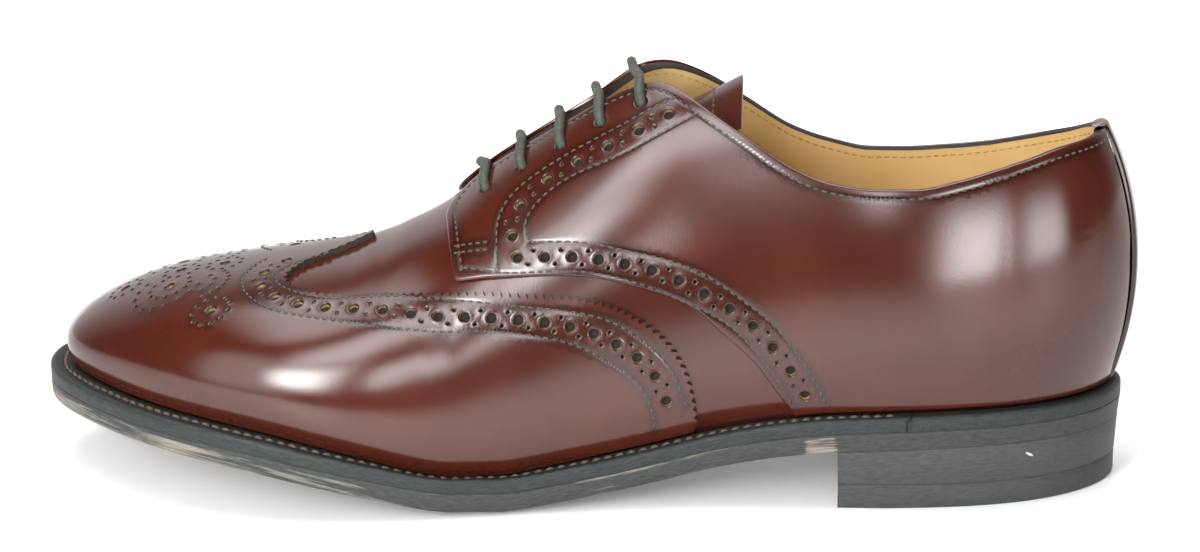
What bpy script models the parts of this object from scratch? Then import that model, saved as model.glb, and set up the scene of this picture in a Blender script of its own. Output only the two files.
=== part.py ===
import math

import bmesh
import bpy
import numpy as np
from mathutils import Vector

# Wingtip derby brogue, left shoe, standing empty on its heel and on the tread under the ball.
# Sizes are in millimetres, turned to metres by MM. Stations run from the back of the sole to the toe tip.
# The toe points to -X, the lateral side to -Y and the medial side to +Y. The floor is at height zero.
MM = 0.001
LENGTH = 306.0
CENTRE_STATION = 151.18
CENTRE_Y = 1.02
GAP = 0.3
OVERLAY_GAP = 0.5
WING_GAP = 0.6
FOOT_GAP = 0.5
WALL = 1.8
OVERLAY_THICK = 1.4
STRIP_THICK = 1.9
WELT_THICK = 4.0
WELT_ROUND = 0.7
OUTSOLE_THICK = 5.0
OUTSOLE_ROUND = 0.8
HEEL_LENGTH = 80.0
TOP_PIECE_THICK = 7.0
BREAST_HOLLOW = 2.5
INSOLE_ABOVE_WELT = 2.2
INSOLE_LIFT = 0.4
SCARF_STATION = 60.0
SCARF_SLANT = 5.0
LACE_RADIUS = 1.5
EYELET_RADIUS = 2.1
WELT_UNDER_WALL = 2.3
SCARF_MIDDLE = 0.4
SCARF_LOW = 0.8
TOP_PIECE_INSET = 1.3
TOP_PIECE_ROUND = 0.6
STACK_INSET_LOW = 1.2
STACK_INSET_HIGH = 0.6
OUTSOLE_DRAFT = 0.2
HEEL_HALF_WIDTH = 37.0
BREAST_TOOL_HEIGHT = 60.0
BREAST_TOOL_MIDDLE = 10.0
BOTTOM_LIFT = 2.4
UNDER_TOP_LINE = 0.012
WING_LEAST = 0.01
STRIP_HALF_WIDTH = 4.9
EYELET_TOOL_INSIDE = 2.0
EYELET_TOOL_OUTSIDE = 1.0

# The last has upright ribs: straight across between a heel axis and a toe axis, and fanned about
# each axis beyond it. A rib's number is its station, carried on round each fan.
HEEL_AXIS = 36.0
TOE_AXIS = 262.0
HEEL_FAN = 30.0
TOE_FAN = 35.0
RIB_FIRST = HEEL_AXIS - HEEL_FAN * math.pi / 2
RIB_LAST = TOE_AXIS + TOE_FAN * math.pi / 2


def table(names, rows):
    values = np.array(rows, float)
    return {name: values[:, i] for i, name in enumerate(names.split())}


# Sole outline seen from above: half widths to the lateral and the medial side
SOLE_OUTLINE = table("station lateral medial", [
    (0.0, -1.0, 1.0),
    (3.5, 10.5, 12.5),
    (12.0, 20.5, 22.5),
    (25.0, 28.5, 29.5),
    (45.0, 34.3, 33.5),
    (70.0, 36.5, 33.0),
    (95.0, 36.0, 29.5),
    (120.0, 36.5, 28.0),
    (145.0, 39.8, 32.0),
    (170.0, 44.2, 40.0),
    (195.0, 49.0, 48.0),
    (215.0, 51.0, 52.0),
    (236.0, 49.5, 53.0),
    (256.0, 43.5, 50.5),
    (274.0, 33.5, 45.5),
    (288.0, 22.0, 38.5),
    (297.5, 12.0, 31.0),
    (303.8, 1.5, 22.0),
    (306.0, -10.5, 10.5)])

# Underside of the outsole seen from the side: heel seat, arch, flat tread, toe spring
SOLE_UNDER = table("station height", [
    (0.0, 18.0),
    (40.0, 17.7),
    (80.0, 16.4),
    (95.0, 14.8),
    (108.0, 12.6),
    (131.0, 7.4),
    (150.0, 3.6),
    (160.0, 1.7),
    (166.0, 0.6),
    (172.0, 0.0),
    (184.0, 0.0),
    (190.0, 0.8),
    (198.0, 2.9),
    (208.0, 6.0),
    (222.0, 9.8),
    (236.0, 12.9),
    (255.0, 15.4),
    (275.0, 16.9),
    (306.0, 19.0)])

# Distance of the upper's lower edge from the sole outline
FEATHER = table("station inset", [
    (0.0, 4.7),
    (60.0, 5.5),
    (100.0, 6.5),
    (150.0, 7.5),
    (200.0, 8.5),
    (250.0, 8.5),
    (306.0, 8.0)])

# Top of the last along its length; behind the throat it is the apex that the walls lean to
CREST = table("station height", [
    (-12.0, 119.0),
    (10.0, 119.5),
    (36.0, 123.0),
    (70.0, 127.0),
    (100.0, 124.5),
    (120.0, 120.0),
    (130.0, 116.8),
    (138.0, 112.6),
    (147.0, 106.6),
    (156.0, 100.0),
    (170.0, 90.0),
    (180.0, 82.5),
    (187.0, 77.0),
    (192.5, 73.3),
    (204.0, 67.6),
    (215.0, 63.2),
    (238.0, 58.3),
    (262.0, 54.5),
    (280.0, 51.0),
    (306.0, 43.0)])

# Ridge of the last seen from above; at the instep it lies to the medial side
RIDGE = table("station y", [
    (36.0, 1.0),
    (80.0, 3.0),
    (120.0, 7.0),
    (150.0, 8.5),
    (185.0, 8.0),
    (220.0, 7.0),
    (262.0, 6.0)])

# Swell of the walls: how far they stand out past the lower edge, at what rise, how full the arch is
SWELL = table("station out_lateral out_medial rise_lateral rise_medial full_lateral full_medial", [
    (-12.0, 6.0, 6.0, 33.0, 33.0, 0.00, 0.00),
    (10.0, 5.0, 5.0, 30.0, 30.0, 0.00, 0.00),
    (36.0, 3.6, 3.6, 25.0, 25.0, 0.00, 0.00),
    (80.0, 3.2, 4.5, 20.0, 22.0, 0.00, 0.00),
    (120.0, 3.6, 6.5, 15.0, 22.0, 0.01, 0.01),
    (160.0, 4.0, 5.5, 12.0, 15.0, 0.02, 0.05),
    (200.0, 3.6, 4.0, 10.0, 11.0, 0.03, 0.03),
    (240.0, 2.6, 2.8, 9.0, 9.0, 0.03, 0.03),
    (262.0, 2.0, 2.0, 8.0, 8.0, 0.03, 0.03),
    (317.0, 1.2, 1.2, 6.0, 6.0, 0.03, 0.03)])

# Top line and facing edge: share of the rib's girth from the lower edge to the crest.
# The medial side is lower beside the heel and higher at the instep.
TOP_LINE = table("station lateral medial", [
    (-13.0, 0.661, 0.661),
    (-10.0, 0.661, 0.661),
    (12.0, 0.664, 0.618),
    (32.0, 0.632, 0.580),
    (47.0, 0.578, 0.549),
    (60.0, 0.546, 0.537),
    (70.0, 0.543, 0.541),
    (82.0, 0.558, 0.577),
    (92.0, 0.598, 0.629),
    (106.0, 0.692, 0.748),
    (115.0, 0.760, 0.830),
    (122.0, 0.818, 0.884),
    (126.0, 0.850, 0.910),
    (130.0, 0.870, 0.929),
    (136.0, 0.880, 0.945),
    (150.0, 0.896, 0.915),
    (165.0, 0.922, 0.917),
    (178.0, 0.946, 0.942),
    (183.0, 0.936, 0.935),
    (186.5, 0.894, 0.894),
    (188.0, 0.830, 0.830)])

# The vamp closes over the crest in front of the throat
THROAT = table("station share", [
    (172.0, 0.918),
    (182.0, 0.934),
    (188.0, 0.952),
    (192.0, 1.000)])

# Lower edge of the quarters, running down from the facing to the sole
QUARTER_EDGE = table("station share", [
    (92.0, 0.020),
    (95.5, 0.063),
    (102.0, 0.151),
    (112.7, 0.260),
    (118.0, 0.312),
    (137.0, 0.418),
    (152.5, 0.481),
    (174.5, 0.542),
    (184.5, 0.562),
    (186.5, 0.572),
    (188.0, 0.605)])

# Upper edge of the wing along the side, from its end at the waist to its turn on the vamp
WING_EDGE = table("station share", [
    (118.6, 0.040),
    (120.5, 0.145),
    (124.4, 0.222),
    (134.6, 0.322),
    (148.0, 0.402),
    (163.0, 0.460),
    (180.6, 0.519),
    (199.4, 0.561),
    (215.0, 0.575),
    (222.0, 0.590),
    (228.0, 0.630),
    (231.5, 0.672),
    (233.0, 0.715)])

# Edge of the wing's peak, from the turn up to the crest
WING_PEAK = table("station share", [
    (210.0, 0.985),
    (220.5, 0.925),
    (227.0, 0.870),
    (231.4, 0.800),
    (233.0, 0.715)])

# Tongue: how far it hangs below the inside of the last, and its half width along the rib
TONGUE = table("station sag half", [
    (107.0, 8.7, 24.0),
    (120.0, 12.5, 24.0),
    (135.0, 13.2, 22.0),
    (160.0, 7.4, 20.0),
    (180.0, 2.2, 17.0),
    (189.0, 0.5, 15.0),
    (197.0, 0.5, 13.0)])

# Lace bars across the throat, with the eyelets at their ends
LACING = table("station lateral medial", [
    (177.5, 0.838, 0.838),
    (167.4, 0.836, 0.832),
    (156.4, 0.829, 0.830),
    (145.5, 0.818, 0.836),
    (134.6, 0.820, 0.862)])

# Numbers of facets
HEEL_FAN_RIBS = 9
TOE_FAN_RIBS = 10
UPPER_STEPS = 8
QUARTER_STEPS = 7
WING_LOW_STEPS = 6
WING_HIGH_STEPS = 2
CLOSER_AT_FOOT = 1.15
STRIP_STEPS = 12
STRIP_RIBS = 3
LACE_POINTS = 5
LACE_WELD = 0.00001
TONGUE_RIBS = 10
TONGUE_STEPS = 4
TONGUE_CLEAR = 0.4
SOLE_POINTS = 44
HEEL_POINTS = 16
WELT_POINTS = 72
RAND_POINTS = 20
LACE_SIDES = 8
EYELET_SIDES = 10
BREAST_SIDES = 96
OUTLINE_POINTS = 1600
RIB_LOW_POINTS = 14
RIB_HIGH_POINTS = 60
NUDGE = 0.01


def spline(xs, ys):
    count = len(xs)
    span = np.diff(xs)
    matrix = np.eye(count)
    right = np.zeros(count)
    for i in range(1, count - 1):
        matrix[i, i - 1:i + 2] = span[i - 1], 2 * (span[i - 1] + span[i]), span[i]
        right[i] = 6 * ((ys[i + 1] - ys[i]) / span[i] - (ys[i] - ys[i - 1]) / span[i - 1])
    bend = np.linalg.solve(matrix, right)

    def value(x):
        x = np.asarray(x, float)
        i = np.clip(np.searchsorted(xs, x) - 1, 0, count - 2)
        a = (xs[i + 1] - x) / span[i]
        b = (x - xs[i]) / span[i]
        curve = (a ** 3 - a) * bend[i] + (b ** 3 - b) * bend[i + 1]
        return a * ys[i] + b * ys[i + 1] + curve * span[i] ** 2 / 6
    return value


def steady(xs, ys):
    span = np.diff(xs)
    rise = np.diff(ys) / span
    slope = np.zeros(len(xs))
    for i in range(1, len(xs) - 1):
        if rise[i - 1] * rise[i] > 0:
            before = 2 * span[i] + span[i - 1]
            after = span[i] + 2 * span[i - 1]
            slope[i] = (before + after) / (before / rise[i - 1] + after / rise[i])
    slope[0] = rise[0]
    slope[-1] = rise[-1]

    def value(x):
        x = np.clip(np.asarray(x, float), xs[0], xs[-1])
        i = np.clip(np.searchsorted(xs, x) - 1, 0, len(xs) - 2)
        t = (x - xs[i]) / span[i]
        ends = ys[i] * (1 + 2 * t) * (1 - t) ** 2 + ys[i + 1] * t * t * (3 - 2 * t)
        return ends + span[i] * (slope[i] * t * (1 - t) ** 2 + slope[i + 1] * t * t * (t - 1))
    return value


def spline_of(rows, name):
    return spline(rows["station"], rows[name])


def steady_of(rows, name):
    return steady(rows["station"], rows[name])


sole_under = steady_of(SOLE_UNDER, "height")
feather_inset = spline_of(FEATHER, "inset")
crest_height = spline_of(CREST, "height")
ridge_y = spline_of(RIDGE, "y")
swell = {name: spline_of(SWELL, name) for name in SWELL}
top_line = {side: steady_of(TOP_LINE, side) for side in ("lateral", "medial")}
throat_line = steady_of(THROAT, "share")
quarter_edge = steady_of(QUARTER_EDGE, "share")
wing_edge = steady_of(WING_EDGE, "share")
wing_peak = steady_of(WING_PEAK, "share")
tongue_sag = spline_of(TONGUE, "sag")
tongue_half = spline_of(TONGUE, "half")


def outsole_top(s):
    return sole_under(s) + OUTSOLE_THICK


def welt_under(s):
    return outsole_top(s) + GAP


def welt_top(s):
    return welt_under(s) + WELT_THICK


def closed_outline():
    s = SOLE_OUTLINE["station"]
    lateral = -SOLE_OUTLINE["lateral"]
    medial = SOLE_OUTLINE["medial"]
    loop = np.vstack([np.c_[s, lateral], np.c_[s[-2:0:-1], medial[-2:0:-1]]])
    wrap = 5
    wrapped = np.vstack([loop[-wrap:], loop, loop[:wrap + 1]])
    along = np.r_[0, np.cumsum(np.linalg.norm(np.diff(wrapped, axis=0), axis=1))]
    station = spline(along, wrapped[:, 0])
    across = spline(along, wrapped[:, 1])
    start = along[wrap]
    tip = along[wrap + len(s) - 1]
    end = along[wrap + len(loop)]
    t = np.r_[np.linspace(start, tip, OUTLINE_POINTS, endpoint=False),
              np.linspace(tip, end, OUTLINE_POINTS, endpoint=False)]
    tangent = np.c_[station(t + NUDGE) - station(t - NUDGE), across(t + NUDGE) - across(t - NUDGE)]
    tangent /= np.linalg.norm(tangent, axis=1)[:, None]
    return np.c_[station(t), across(t)], np.c_[-tangent[:, 1], tangent[:, 0]]


OUTLINE, OUTLINE_INWARD = closed_outline()


def inset_outline(inset):
    return OUTLINE + OUTLINE_INWARD * (inset(OUTLINE[:, 0]) * np.ones(len(OUTLINE)))[:, None]


def branches(loop):
    lateral = loop[:OUTLINE_POINTS + 1]
    medial = np.vstack([loop[OUTLINE_POINTS:], loop[:1]])[::-1]
    return {"lateral": lateral, "medial": medial}


FEATHER_LOOP = inset_outline(feather_inset)
FEATHER_SIDES = branches(FEATHER_LOOP)


def side_y(branch, s):
    return np.interp(s, np.maximum.accumulate(branch[:, 0]), branch[:, 1])


def fan_reach(axis, ds, dy):
    offset = FEATHER_LOOP - (axis, ridge_y(axis))
    angle = np.arctan2(offset[:, 1], offset[:, 0])
    order = np.argsort(angle)
    angle = angle[order]
    radius = np.hypot(offset[order, 0], offset[order, 1])
    turn = 2 * math.pi
    angle = np.r_[angle[-1] - turn, angle, angle[0] + turn]
    return np.interp(np.arctan2(dy, ds), angle, np.r_[radius[-1], radius, radius[0]])


def rib_frame(side, rib):
    out = -1.0 if side == "lateral" else 1.0
    toe = np.maximum(rib - TOE_AXIS, 0) / TOE_FAN
    heel = np.maximum(HEEL_AXIS - rib, 0) / HEEL_FAN
    s = np.clip(rib, HEEL_AXIS, TOE_AXIS)
    y = ridge_y(s)
    ds = np.sin(toe) - np.sin(heel)
    dy = out * np.cos(toe) * np.cos(heel)
    reach = np.abs(side_y(FEATHER_SIDES[side], s) - y)
    reach = np.where(rib > TOE_AXIS, fan_reach(TOE_AXIS, ds, dy), reach)
    reach = np.where(rib < HEEL_AXIS, fan_reach(HEEL_AXIS, ds, dy), reach)
    return s, y, ds, dy, reach


def rib_lines(side, rib):
    s0, y0, ds, dy, reach = [v[:, None] for v in rib_frame(side, rib)]
    out = swell["out_" + side](rib)[:, None]
    rise = swell["rise_" + side](rib)[:, None]
    full = swell["full_" + side](rib)[:, None]
    low = np.linspace(0, 1, RIB_LOW_POINTS, endpoint=False)[None, :]
    turn = np.linspace(0, math.pi / 2, RIB_HIGH_POINTS)[None, :]
    puff = 1 + full * np.sin(2 * turn) ** 2
    reach_low = reach + out * (1 - (1 - low) ** 2)
    reach_high = (reach + out) * np.cos(turn) * puff
    distance = np.hstack([reach_low, reach_high])
    s = s0 + ds * distance
    y = y0 + dy * distance
    foot = welt_top(s0 + ds * reach) + FOOT_GAP
    belly = foot + rise
    height_low = foot + rise * low
    height_high = belly + (crest_height(s[:, RIB_LOW_POINTS:]) - belly) * np.sin(turn) * puff
    return np.stack([s, y, np.hstack([height_low, height_high])], axis=2)


def skin_points(side, rib, share):
    lines = rib_lines(side, rib)
    steps = np.linalg.norm(np.diff(lines, axis=1), axis=2)
    run = np.hstack([np.zeros((len(rib), 1)), np.cumsum(steps, axis=1)])
    points = np.empty(share.shape + (3,))
    for i in range(len(rib)):
        for k in range(3):
            points[i, :, k] = np.interp(share[i] * run[i, -1], run[i], lines[i, :, k])
    return points


def girth(side, rib):
    return np.linalg.norm(np.diff(rib_lines(side, rib), axis=1), axis=2).sum(axis=1)


SHARE_STEP = 0.01
RIB_STEP = 0.5
CREST_SHARE = 0.9999


# Points at a distance outside the last's surface
def skin(side, rib, share, offset):
    rib = np.asarray(rib, float)
    share = np.asarray(share, float)
    points = skin_points(side, rib, share)
    low = np.clip(share - SHARE_STEP, 0, 1)
    high = np.clip(share + SHARE_STEP, 0, 1)
    up = skin_points(side, rib, high) - skin_points(side, rib, low)
    near = np.clip(share, 0, 1 - SHARE_STEP)
    along = skin_points(side, rib + RIB_STEP, near) - skin_points(side, rib - RIB_STEP, near)
    normal = np.cross(up, along) if side == "medial" else np.cross(along, up)
    rise = crest_height(points[..., 0] + RIB_STEP) - crest_height(points[..., 0] - RIB_STEP)
    slope = rise / (2 * RIB_STEP)
    crest = np.stack([-slope, np.zeros_like(slope), np.ones_like(slope)], axis=2)
    normal = np.where((share > CREST_SHARE)[..., None], crest, normal)
    normal /= np.linalg.norm(normal, axis=2)[..., None]
    return points + normal * offset


def metres(points):
    points = np.asarray(points, float)
    x = CENTRE_STATION - points[..., 0]
    y = points[..., 1] - CENTRE_Y
    return np.stack([x, y, points[..., 2]], axis=-1) * MM


for old in list(bpy.data.objects):
    bpy.data.objects.remove(old, do_unlink=True)
parts = bpy.data.collections.new("wingtip_brogue")
cutters = bpy.data.collections.new("cutters")
bpy.context.scene.collection.children.link(parts)
bpy.context.scene.collection.children.link(cutters)
WELD = 0.00008


def material(name, colour, roughness):
    made = bpy.data.materials.new(name)
    made.use_nodes = True
    shader = made.node_tree.nodes["Principled BSDF"]
    shader.inputs["Base Color"].default_value = colour + (1.0,)
    shader.inputs["Roughness"].default_value = roughness
    shader.inputs["Metallic"].default_value = 0.0
    return made


def mesh_object(name, points, faces, look):
    mesh = bpy.data.meshes.new(name)
    mesh.from_pydata([tuple(p) for p in metres(points)], [], faces)
    build = bmesh.new()
    build.from_mesh(mesh)
    bmesh.ops.remove_doubles(build, verts=build.verts, dist=WELD)
    bmesh.ops.recalc_face_normals(build, faces=build.faces)
    build.to_mesh(mesh)
    build.free()
    mesh.shade_smooth()
    made = bpy.data.objects.new(name, mesh)
    made.data.materials.append(look)
    parts.objects.link(made)
    return made


def grid_faces(rows, columns, first, turned):
    faces = []
    for i in range(rows - 1):
        for k in range(columns - 1):
            a = first + i * columns + k
            face = (a, a + 1, a + columns + 1, a + columns)
            faces.append(face[::-1] if turned else face)
    return faces


# A sheet of one or more grids, welded, with its faces turned outward
def sheet(name, grids, look, thick, inward):
    points = []
    faces = []
    count = 0
    for grid, turned in grids:
        rows, columns = grid.shape[:2]
        faces += grid_faces(rows, columns, count, turned)
        points.append(grid.reshape(-1, 3))
        count += rows * columns
    mesh = bpy.data.meshes.new(name)
    mesh.from_pydata([tuple(p) for p in metres(np.vstack(points))], [], faces)
    build = bmesh.new()
    build.from_mesh(mesh)
    bmesh.ops.remove_doubles(build, verts=build.verts, dist=WELD)
    build.to_mesh(mesh)
    build.free()
    mesh.shade_smooth()
    made = bpy.data.objects.new(name, mesh)
    made.data.materials.append(look)
    parts.objects.link(made)
    shell = made.modifiers.new("leather", "SOLIDIFY")
    shell.thickness = thick * MM
    shell.offset = -1.0 if inward else 1.0
    return made


# A plate with the sole's outline: layers of inset and height, from the floor upward
def plate(name, layers, last, count, look):
    rings = []
    for inset, height in layers:
        sides = branches(inset_outline(inset))
        ring = []
        for side in ("lateral", "medial"):
            line = sides[side]
            run = np.r_[0, np.cumsum(np.linalg.norm(np.diff(line, axis=0), axis=1))]
            stop = np.interp(last, np.maximum.accumulate(line[:, 0]), run)
            t = stop * np.linspace(0, 1, count)
            s = np.interp(t, run, line[:, 0])
            y = np.interp(t, run, line[:, 1])
            row = np.c_[s, y, height(s) * np.ones(count)]
            ring.append(row if side == "lateral" else row[::-1])
        rings.append(np.vstack(ring))
    around = 2 * count
    faces = []
    for layer in range(len(rings) - 1):
        for i in range(around):
            a = layer * around + i
            b = layer * around + (i + 1) % around
            faces.append((a, b, b + around, a + around))
    top = (len(rings) - 1) * around
    for i in range(count - 1):
        j = around - 1 - i
        faces.append((i, j, j - 1, i + 1))
        faces.append((top + i, top + i + 1, top + j - 1, top + j))
    return mesh_object(name, np.vstack(rings), faces, look)


# A strip under the edge of the upper, with slanting ends
def strip(name, first, last, count, slants, look):
    whole = np.vstack([OUTLINE, OUTLINE[:1]])
    run = np.r_[0, np.cumsum(np.linalg.norm(np.diff(whole, axis=0), axis=1))]
    inward = np.vstack([OUTLINE_INWARD, OUTLINE_INWARD[:1]])
    lateral = np.interp(first, np.maximum.accumulate(OUTLINE[:OUTLINE_POINTS, 0]), run[:OUTLINE_POINTS])
    medial_run = run[OUTLINE_POINTS:]
    medial = np.interp(-last, np.maximum.accumulate(-whole[OUTLINE_POINTS:, 0]), medial_run)
    if slants[0] > 0:
        t = np.linspace(lateral, medial, count)
    else:
        t = np.linspace(medial, lateral + run[-1], count)
    ends = np.zeros(count)
    ends[0] = slants[0]
    ends[-1] = slants[1]
    corners = [
        (0.0, lambda s: welt_top(s) - WELT_ROUND, SCARF_MIDDLE),
        (0.0, lambda s: welt_under(s) + WELT_ROUND, SCARF_LOW),
        (WELT_ROUND, welt_under, 1.0),
        (None, welt_under, 1.0),
        (None, welt_top, 0.0),
        (WELT_ROUND, welt_top, 0.0)]
    rows = []
    for inset, height, share in corners:
        place = (t + ends * share) % run[-1]
        s = np.interp(place, run, whole[:, 0])
        amount = feather_inset(s) + WELT_UNDER_WALL if inset is None else inset * np.ones(count)
        s_in = s + np.interp(place, run, inward[:, 0]) * amount
        y_in = np.interp(place, run, whole[:, 1]) + np.interp(place, run, inward[:, 1]) * amount
        rows.append(np.c_[s_in, y_in, height(s_in)])
    grid = np.stack(rows, axis=1)
    around = len(corners)
    faces = []
    for i in range(count - 1):
        for k in range(around):
            a = i * around + k
            b = i * around + (k + 1) % around
            faces.append((a, b, b + around, a + around))
    faces.append(tuple(range(around)))
    faces.append(tuple((count - 1) * around + k for k in range(around)))
    return mesh_object(name, grid.reshape(-1, 3), faces, look)


def cut(target, cutter):
    tool = target.modifiers.new("cut_" + cutter.name, "BOOLEAN")
    tool.operation = "DIFFERENCE"
    tool.solver = "EXACT"
    tool.object = cutter


def cutter_object(name, mesh):
    made = bpy.data.objects.new(name, mesh)
    cutters.objects.link(made)
    made.hide_render = True
    made.display_type = "WIRE"
    return made


burgundy = material("upper_leather", (0.115, 0.022, 0.018), 0.28)
burgundy_wing = material("wing_leather", (0.125, 0.024, 0.019), 0.26)
burgundy_lateral = material("quarter_lateral_leather", (0.125, 0.025, 0.020), 0.26)
burgundy_medial = material("quarter_medial_leather", (0.125, 0.025, 0.020), 0.26)
burgundy_strip = material("back_strip_leather", (0.120, 0.024, 0.019), 0.28)
tongue_leather = material("tongue_leather", (0.110, 0.024, 0.020), 0.34)
tan_leather = material("insole_leather", (0.520, 0.310, 0.120), 0.55)
welt_leather = material("welt_leather", (0.030, 0.031, 0.030), 0.50)
rand_leather = material("heel_rand_leather", (0.032, 0.033, 0.032), 0.50)
sole_leather = material("outsole_leather", (0.060, 0.062, 0.060), 0.55)
stack_leather = material("heel_stack_leather", (0.040, 0.042, 0.042), 0.50)
top_piece_rubber = material("heel_top_piece_rubber", (0.030, 0.031, 0.031), 0.55)
lace_cotton = material("lace_cotton", (0.110, 0.115, 0.100), 0.65)

# Sole: heel top piece, heel stack, outsole, welt, rand and insole, from the floor upward
TOP_PIECE_LAYERS = [
    (lambda s: TOP_PIECE_INSET + TOP_PIECE_ROUND, lambda s: 0.0 * s),
    (lambda s: TOP_PIECE_INSET, lambda s: 0.0 * s + TOP_PIECE_ROUND),
    (lambda s: TOP_PIECE_INSET, lambda s: 0.0 * s + TOP_PIECE_THICK)]
STACK_LAYERS = [
    (lambda s: STACK_INSET_LOW, lambda s: 0.0 * s + TOP_PIECE_THICK + GAP),
    (lambda s: STACK_INSET_HIGH, lambda s: sole_under(s) - GAP)]
OUTSOLE_LAYERS = [
    (lambda s: OUTSOLE_ROUND, sole_under),
    (lambda s: OUTSOLE_DRAFT, lambda s: sole_under(s) + OUTSOLE_ROUND),
    (lambda s: 0.0, lambda s: outsole_top(s) - OUTSOLE_ROUND),
    (lambda s: OUTSOLE_ROUND, outsole_top)]
INSOLE_LAYERS = [
    (lambda s: feather_inset(s) + WELT_UNDER_WALL + GAP, lambda s: welt_under(s) + INSOLE_LIFT),
    (lambda s: feather_inset(s) + WELT_UNDER_WALL + GAP, lambda s: welt_top(s) + INSOLE_ABOVE_WELT)]

top_piece = plate("heel_top_piece", TOP_PIECE_LAYERS, HEEL_LENGTH, HEEL_POINTS, top_piece_rubber)
stack = plate("heel_stack", STACK_LAYERS, HEEL_LENGTH, HEEL_POINTS, stack_leather)
plate("outsole", OUTSOLE_LAYERS, LENGTH, SOLE_POINTS, sole_leather)
plate("insole", INSOLE_LAYERS, LENGTH, SOLE_POINTS, tan_leather)
strip("welt", SCARF_STATION, SCARF_STATION, WELT_POINTS, (SCARF_SLANT, -SCARF_SLANT), welt_leather)
rand_end = SCARF_STATION - GAP
strip("heel_rand", rand_end, rand_end, RAND_POINTS, (-SCARF_SLANT, SCARF_SLANT), rand_leather)

# Hollow front of the heel, cut with a round upright tool
breast_radius = (HEEL_HALF_WIDTH ** 2 + BREAST_HOLLOW ** 2) / (2 * BREAST_HOLLOW)
breast_mesh = bpy.data.meshes.new("breast_tool")
build = bmesh.new()
bmesh.ops.create_cone(build, cap_ends=True, segments=BREAST_SIDES, radius1=breast_radius * MM,
                      radius2=breast_radius * MM, depth=BREAST_TOOL_HEIGHT * MM)
build.to_mesh(breast_mesh)
build.free()
breast_tool = cutter_object("breast_tool", breast_mesh)
breast_tool.location = metres((HEEL_LENGTH - BREAST_HOLLOW + breast_radius, 0.0, BREAST_TOOL_MIDDLE))
cut(top_piece, breast_tool)
cut(stack, breast_tool)

# Upper: the hollow shell, open at the collar, the throat and underneath.
# All pieces of the upper share these ribs between the two axes.
STRAIGHT_RIBS = [
    46.0, 57.0, 68.0, 80.0, 92.0, 96.0, 100.0, 106.0, 112.0, 118.6, 121.0, 125.5, 130.0, 136.0, 143.0,
    150.0, 157.0, 164.0, 171.0, 178.0, 183.5, 188.0, 192.0, 201.0, 210.0, 217.0, 224.0, 230.0, 233.0,
    240.0, 247.0, 254.5]
ribs = np.r_[np.linspace(RIB_FIRST, HEEL_AXIS, HEEL_FAN_RIBS), STRAIGHT_RIBS,
             np.linspace(TOE_AXIS, RIB_LAST, TOE_FAN_RIBS)]


def upper_top(side, rib):
    under_edge = top_line[side](rib) - UNDER_TOP_LINE
    return np.where(rib > THROAT["station"][0], throat_line(rib), under_edge)


climb = np.linspace(0, 1, UPPER_STEPS + 1)[None, :] ** CLOSER_AT_FOOT
upper_grids = []
for side in ("lateral", "medial"):
    share = upper_top(side, ribs)[:, None] * climb
    upper_grids.append((skin(side, ribs, share, 0.0), side == "medial"))
upper = sheet("upper", upper_grids, burgundy, WALL, True)

# Wing cap: the toe, the wings along both sides and the peak on the vamp
turn_station = WING_EDGE["station"][-1]
turn_share = WING_EDGE["share"][-1]
wing_low_ribs = ribs[ribs >= WING_EDGE["station"][0]]
wing_high_ribs = ribs[ribs >= WING_PEAK["station"][0]]


def low_edge(side, rib):
    return BOTTOM_LIFT / girth(side, rib)


wing_grids = []
for side in ("lateral", "medial"):
    foot = low_edge(side, wing_low_ribs)
    head = np.where(wing_low_ribs < turn_station, wing_edge(wing_low_ribs), turn_share)
    head = np.maximum(head, foot + WING_LEAST)
    climb = np.linspace(0, 1, WING_LOW_STEPS + 1)[None, :] ** CLOSER_AT_FOOT
    share = foot[:, None] + (head - foot)[:, None] * climb
    wing_grids.append((skin(side, wing_low_ribs, share, WING_GAP), side == "medial"))
    foot = np.where(wing_high_ribs < turn_station, wing_peak(wing_high_ribs), turn_share)
    climb = np.linspace(0, 1, WING_HIGH_STEPS + 1)[None, :]
    share = foot[:, None] + (1 - foot)[:, None] * climb
    wing_grids.append((skin(side, wing_high_ribs, share, WING_GAP), side == "medial"))
sheet("wing_cap", wing_grids, burgundy_wing, OVERLAY_THICK, False)

# Quarters, from the back strip to the front of the facing
strip_last = RIB_FIRST + STRIP_HALF_WIDTH
quarter_first = strip_last + GAP
quarter_ribs = np.r_[quarter_first, ribs[(ribs > quarter_first) & (ribs <= QUARTER_EDGE["station"][-1])]]
quarters = {}
for side, look in (("lateral", burgundy_lateral), ("medial", burgundy_medial)):
    foot = np.where(quarter_ribs > QUARTER_EDGE["station"][0], quarter_edge(quarter_ribs), 0.0)
    foot = np.maximum(foot, low_edge(side, quarter_ribs))
    climb = np.linspace(0, 1, QUARTER_STEPS + 1)[None, :] ** CLOSER_AT_FOOT
    share = foot[:, None] + (top_line[side](quarter_ribs) - foot)[:, None] * climb
    grid = skin(side, quarter_ribs, share, OVERLAY_GAP)
    quarters[side] = sheet("quarter_" + side, [(grid, side == "medial")], look, OVERLAY_THICK, False)

# Back strip over the heel seam
strip_ribs = np.linspace(RIB_FIRST, strip_last, STRIP_RIBS)
strip_grids = []
for side in ("lateral", "medial"):
    foot = low_edge(side, strip_ribs)
    climb = np.linspace(0, 1, STRIP_STEPS + 1)[None, :]
    share = foot[:, None] + (top_line[side](strip_ribs) - foot)[:, None] * climb
    strip_grids.append((skin(side, strip_ribs, share, OVERLAY_GAP), side == "medial"))
sheet("back_strip", strip_grids, burgundy_strip, STRIP_THICK, False)

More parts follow.
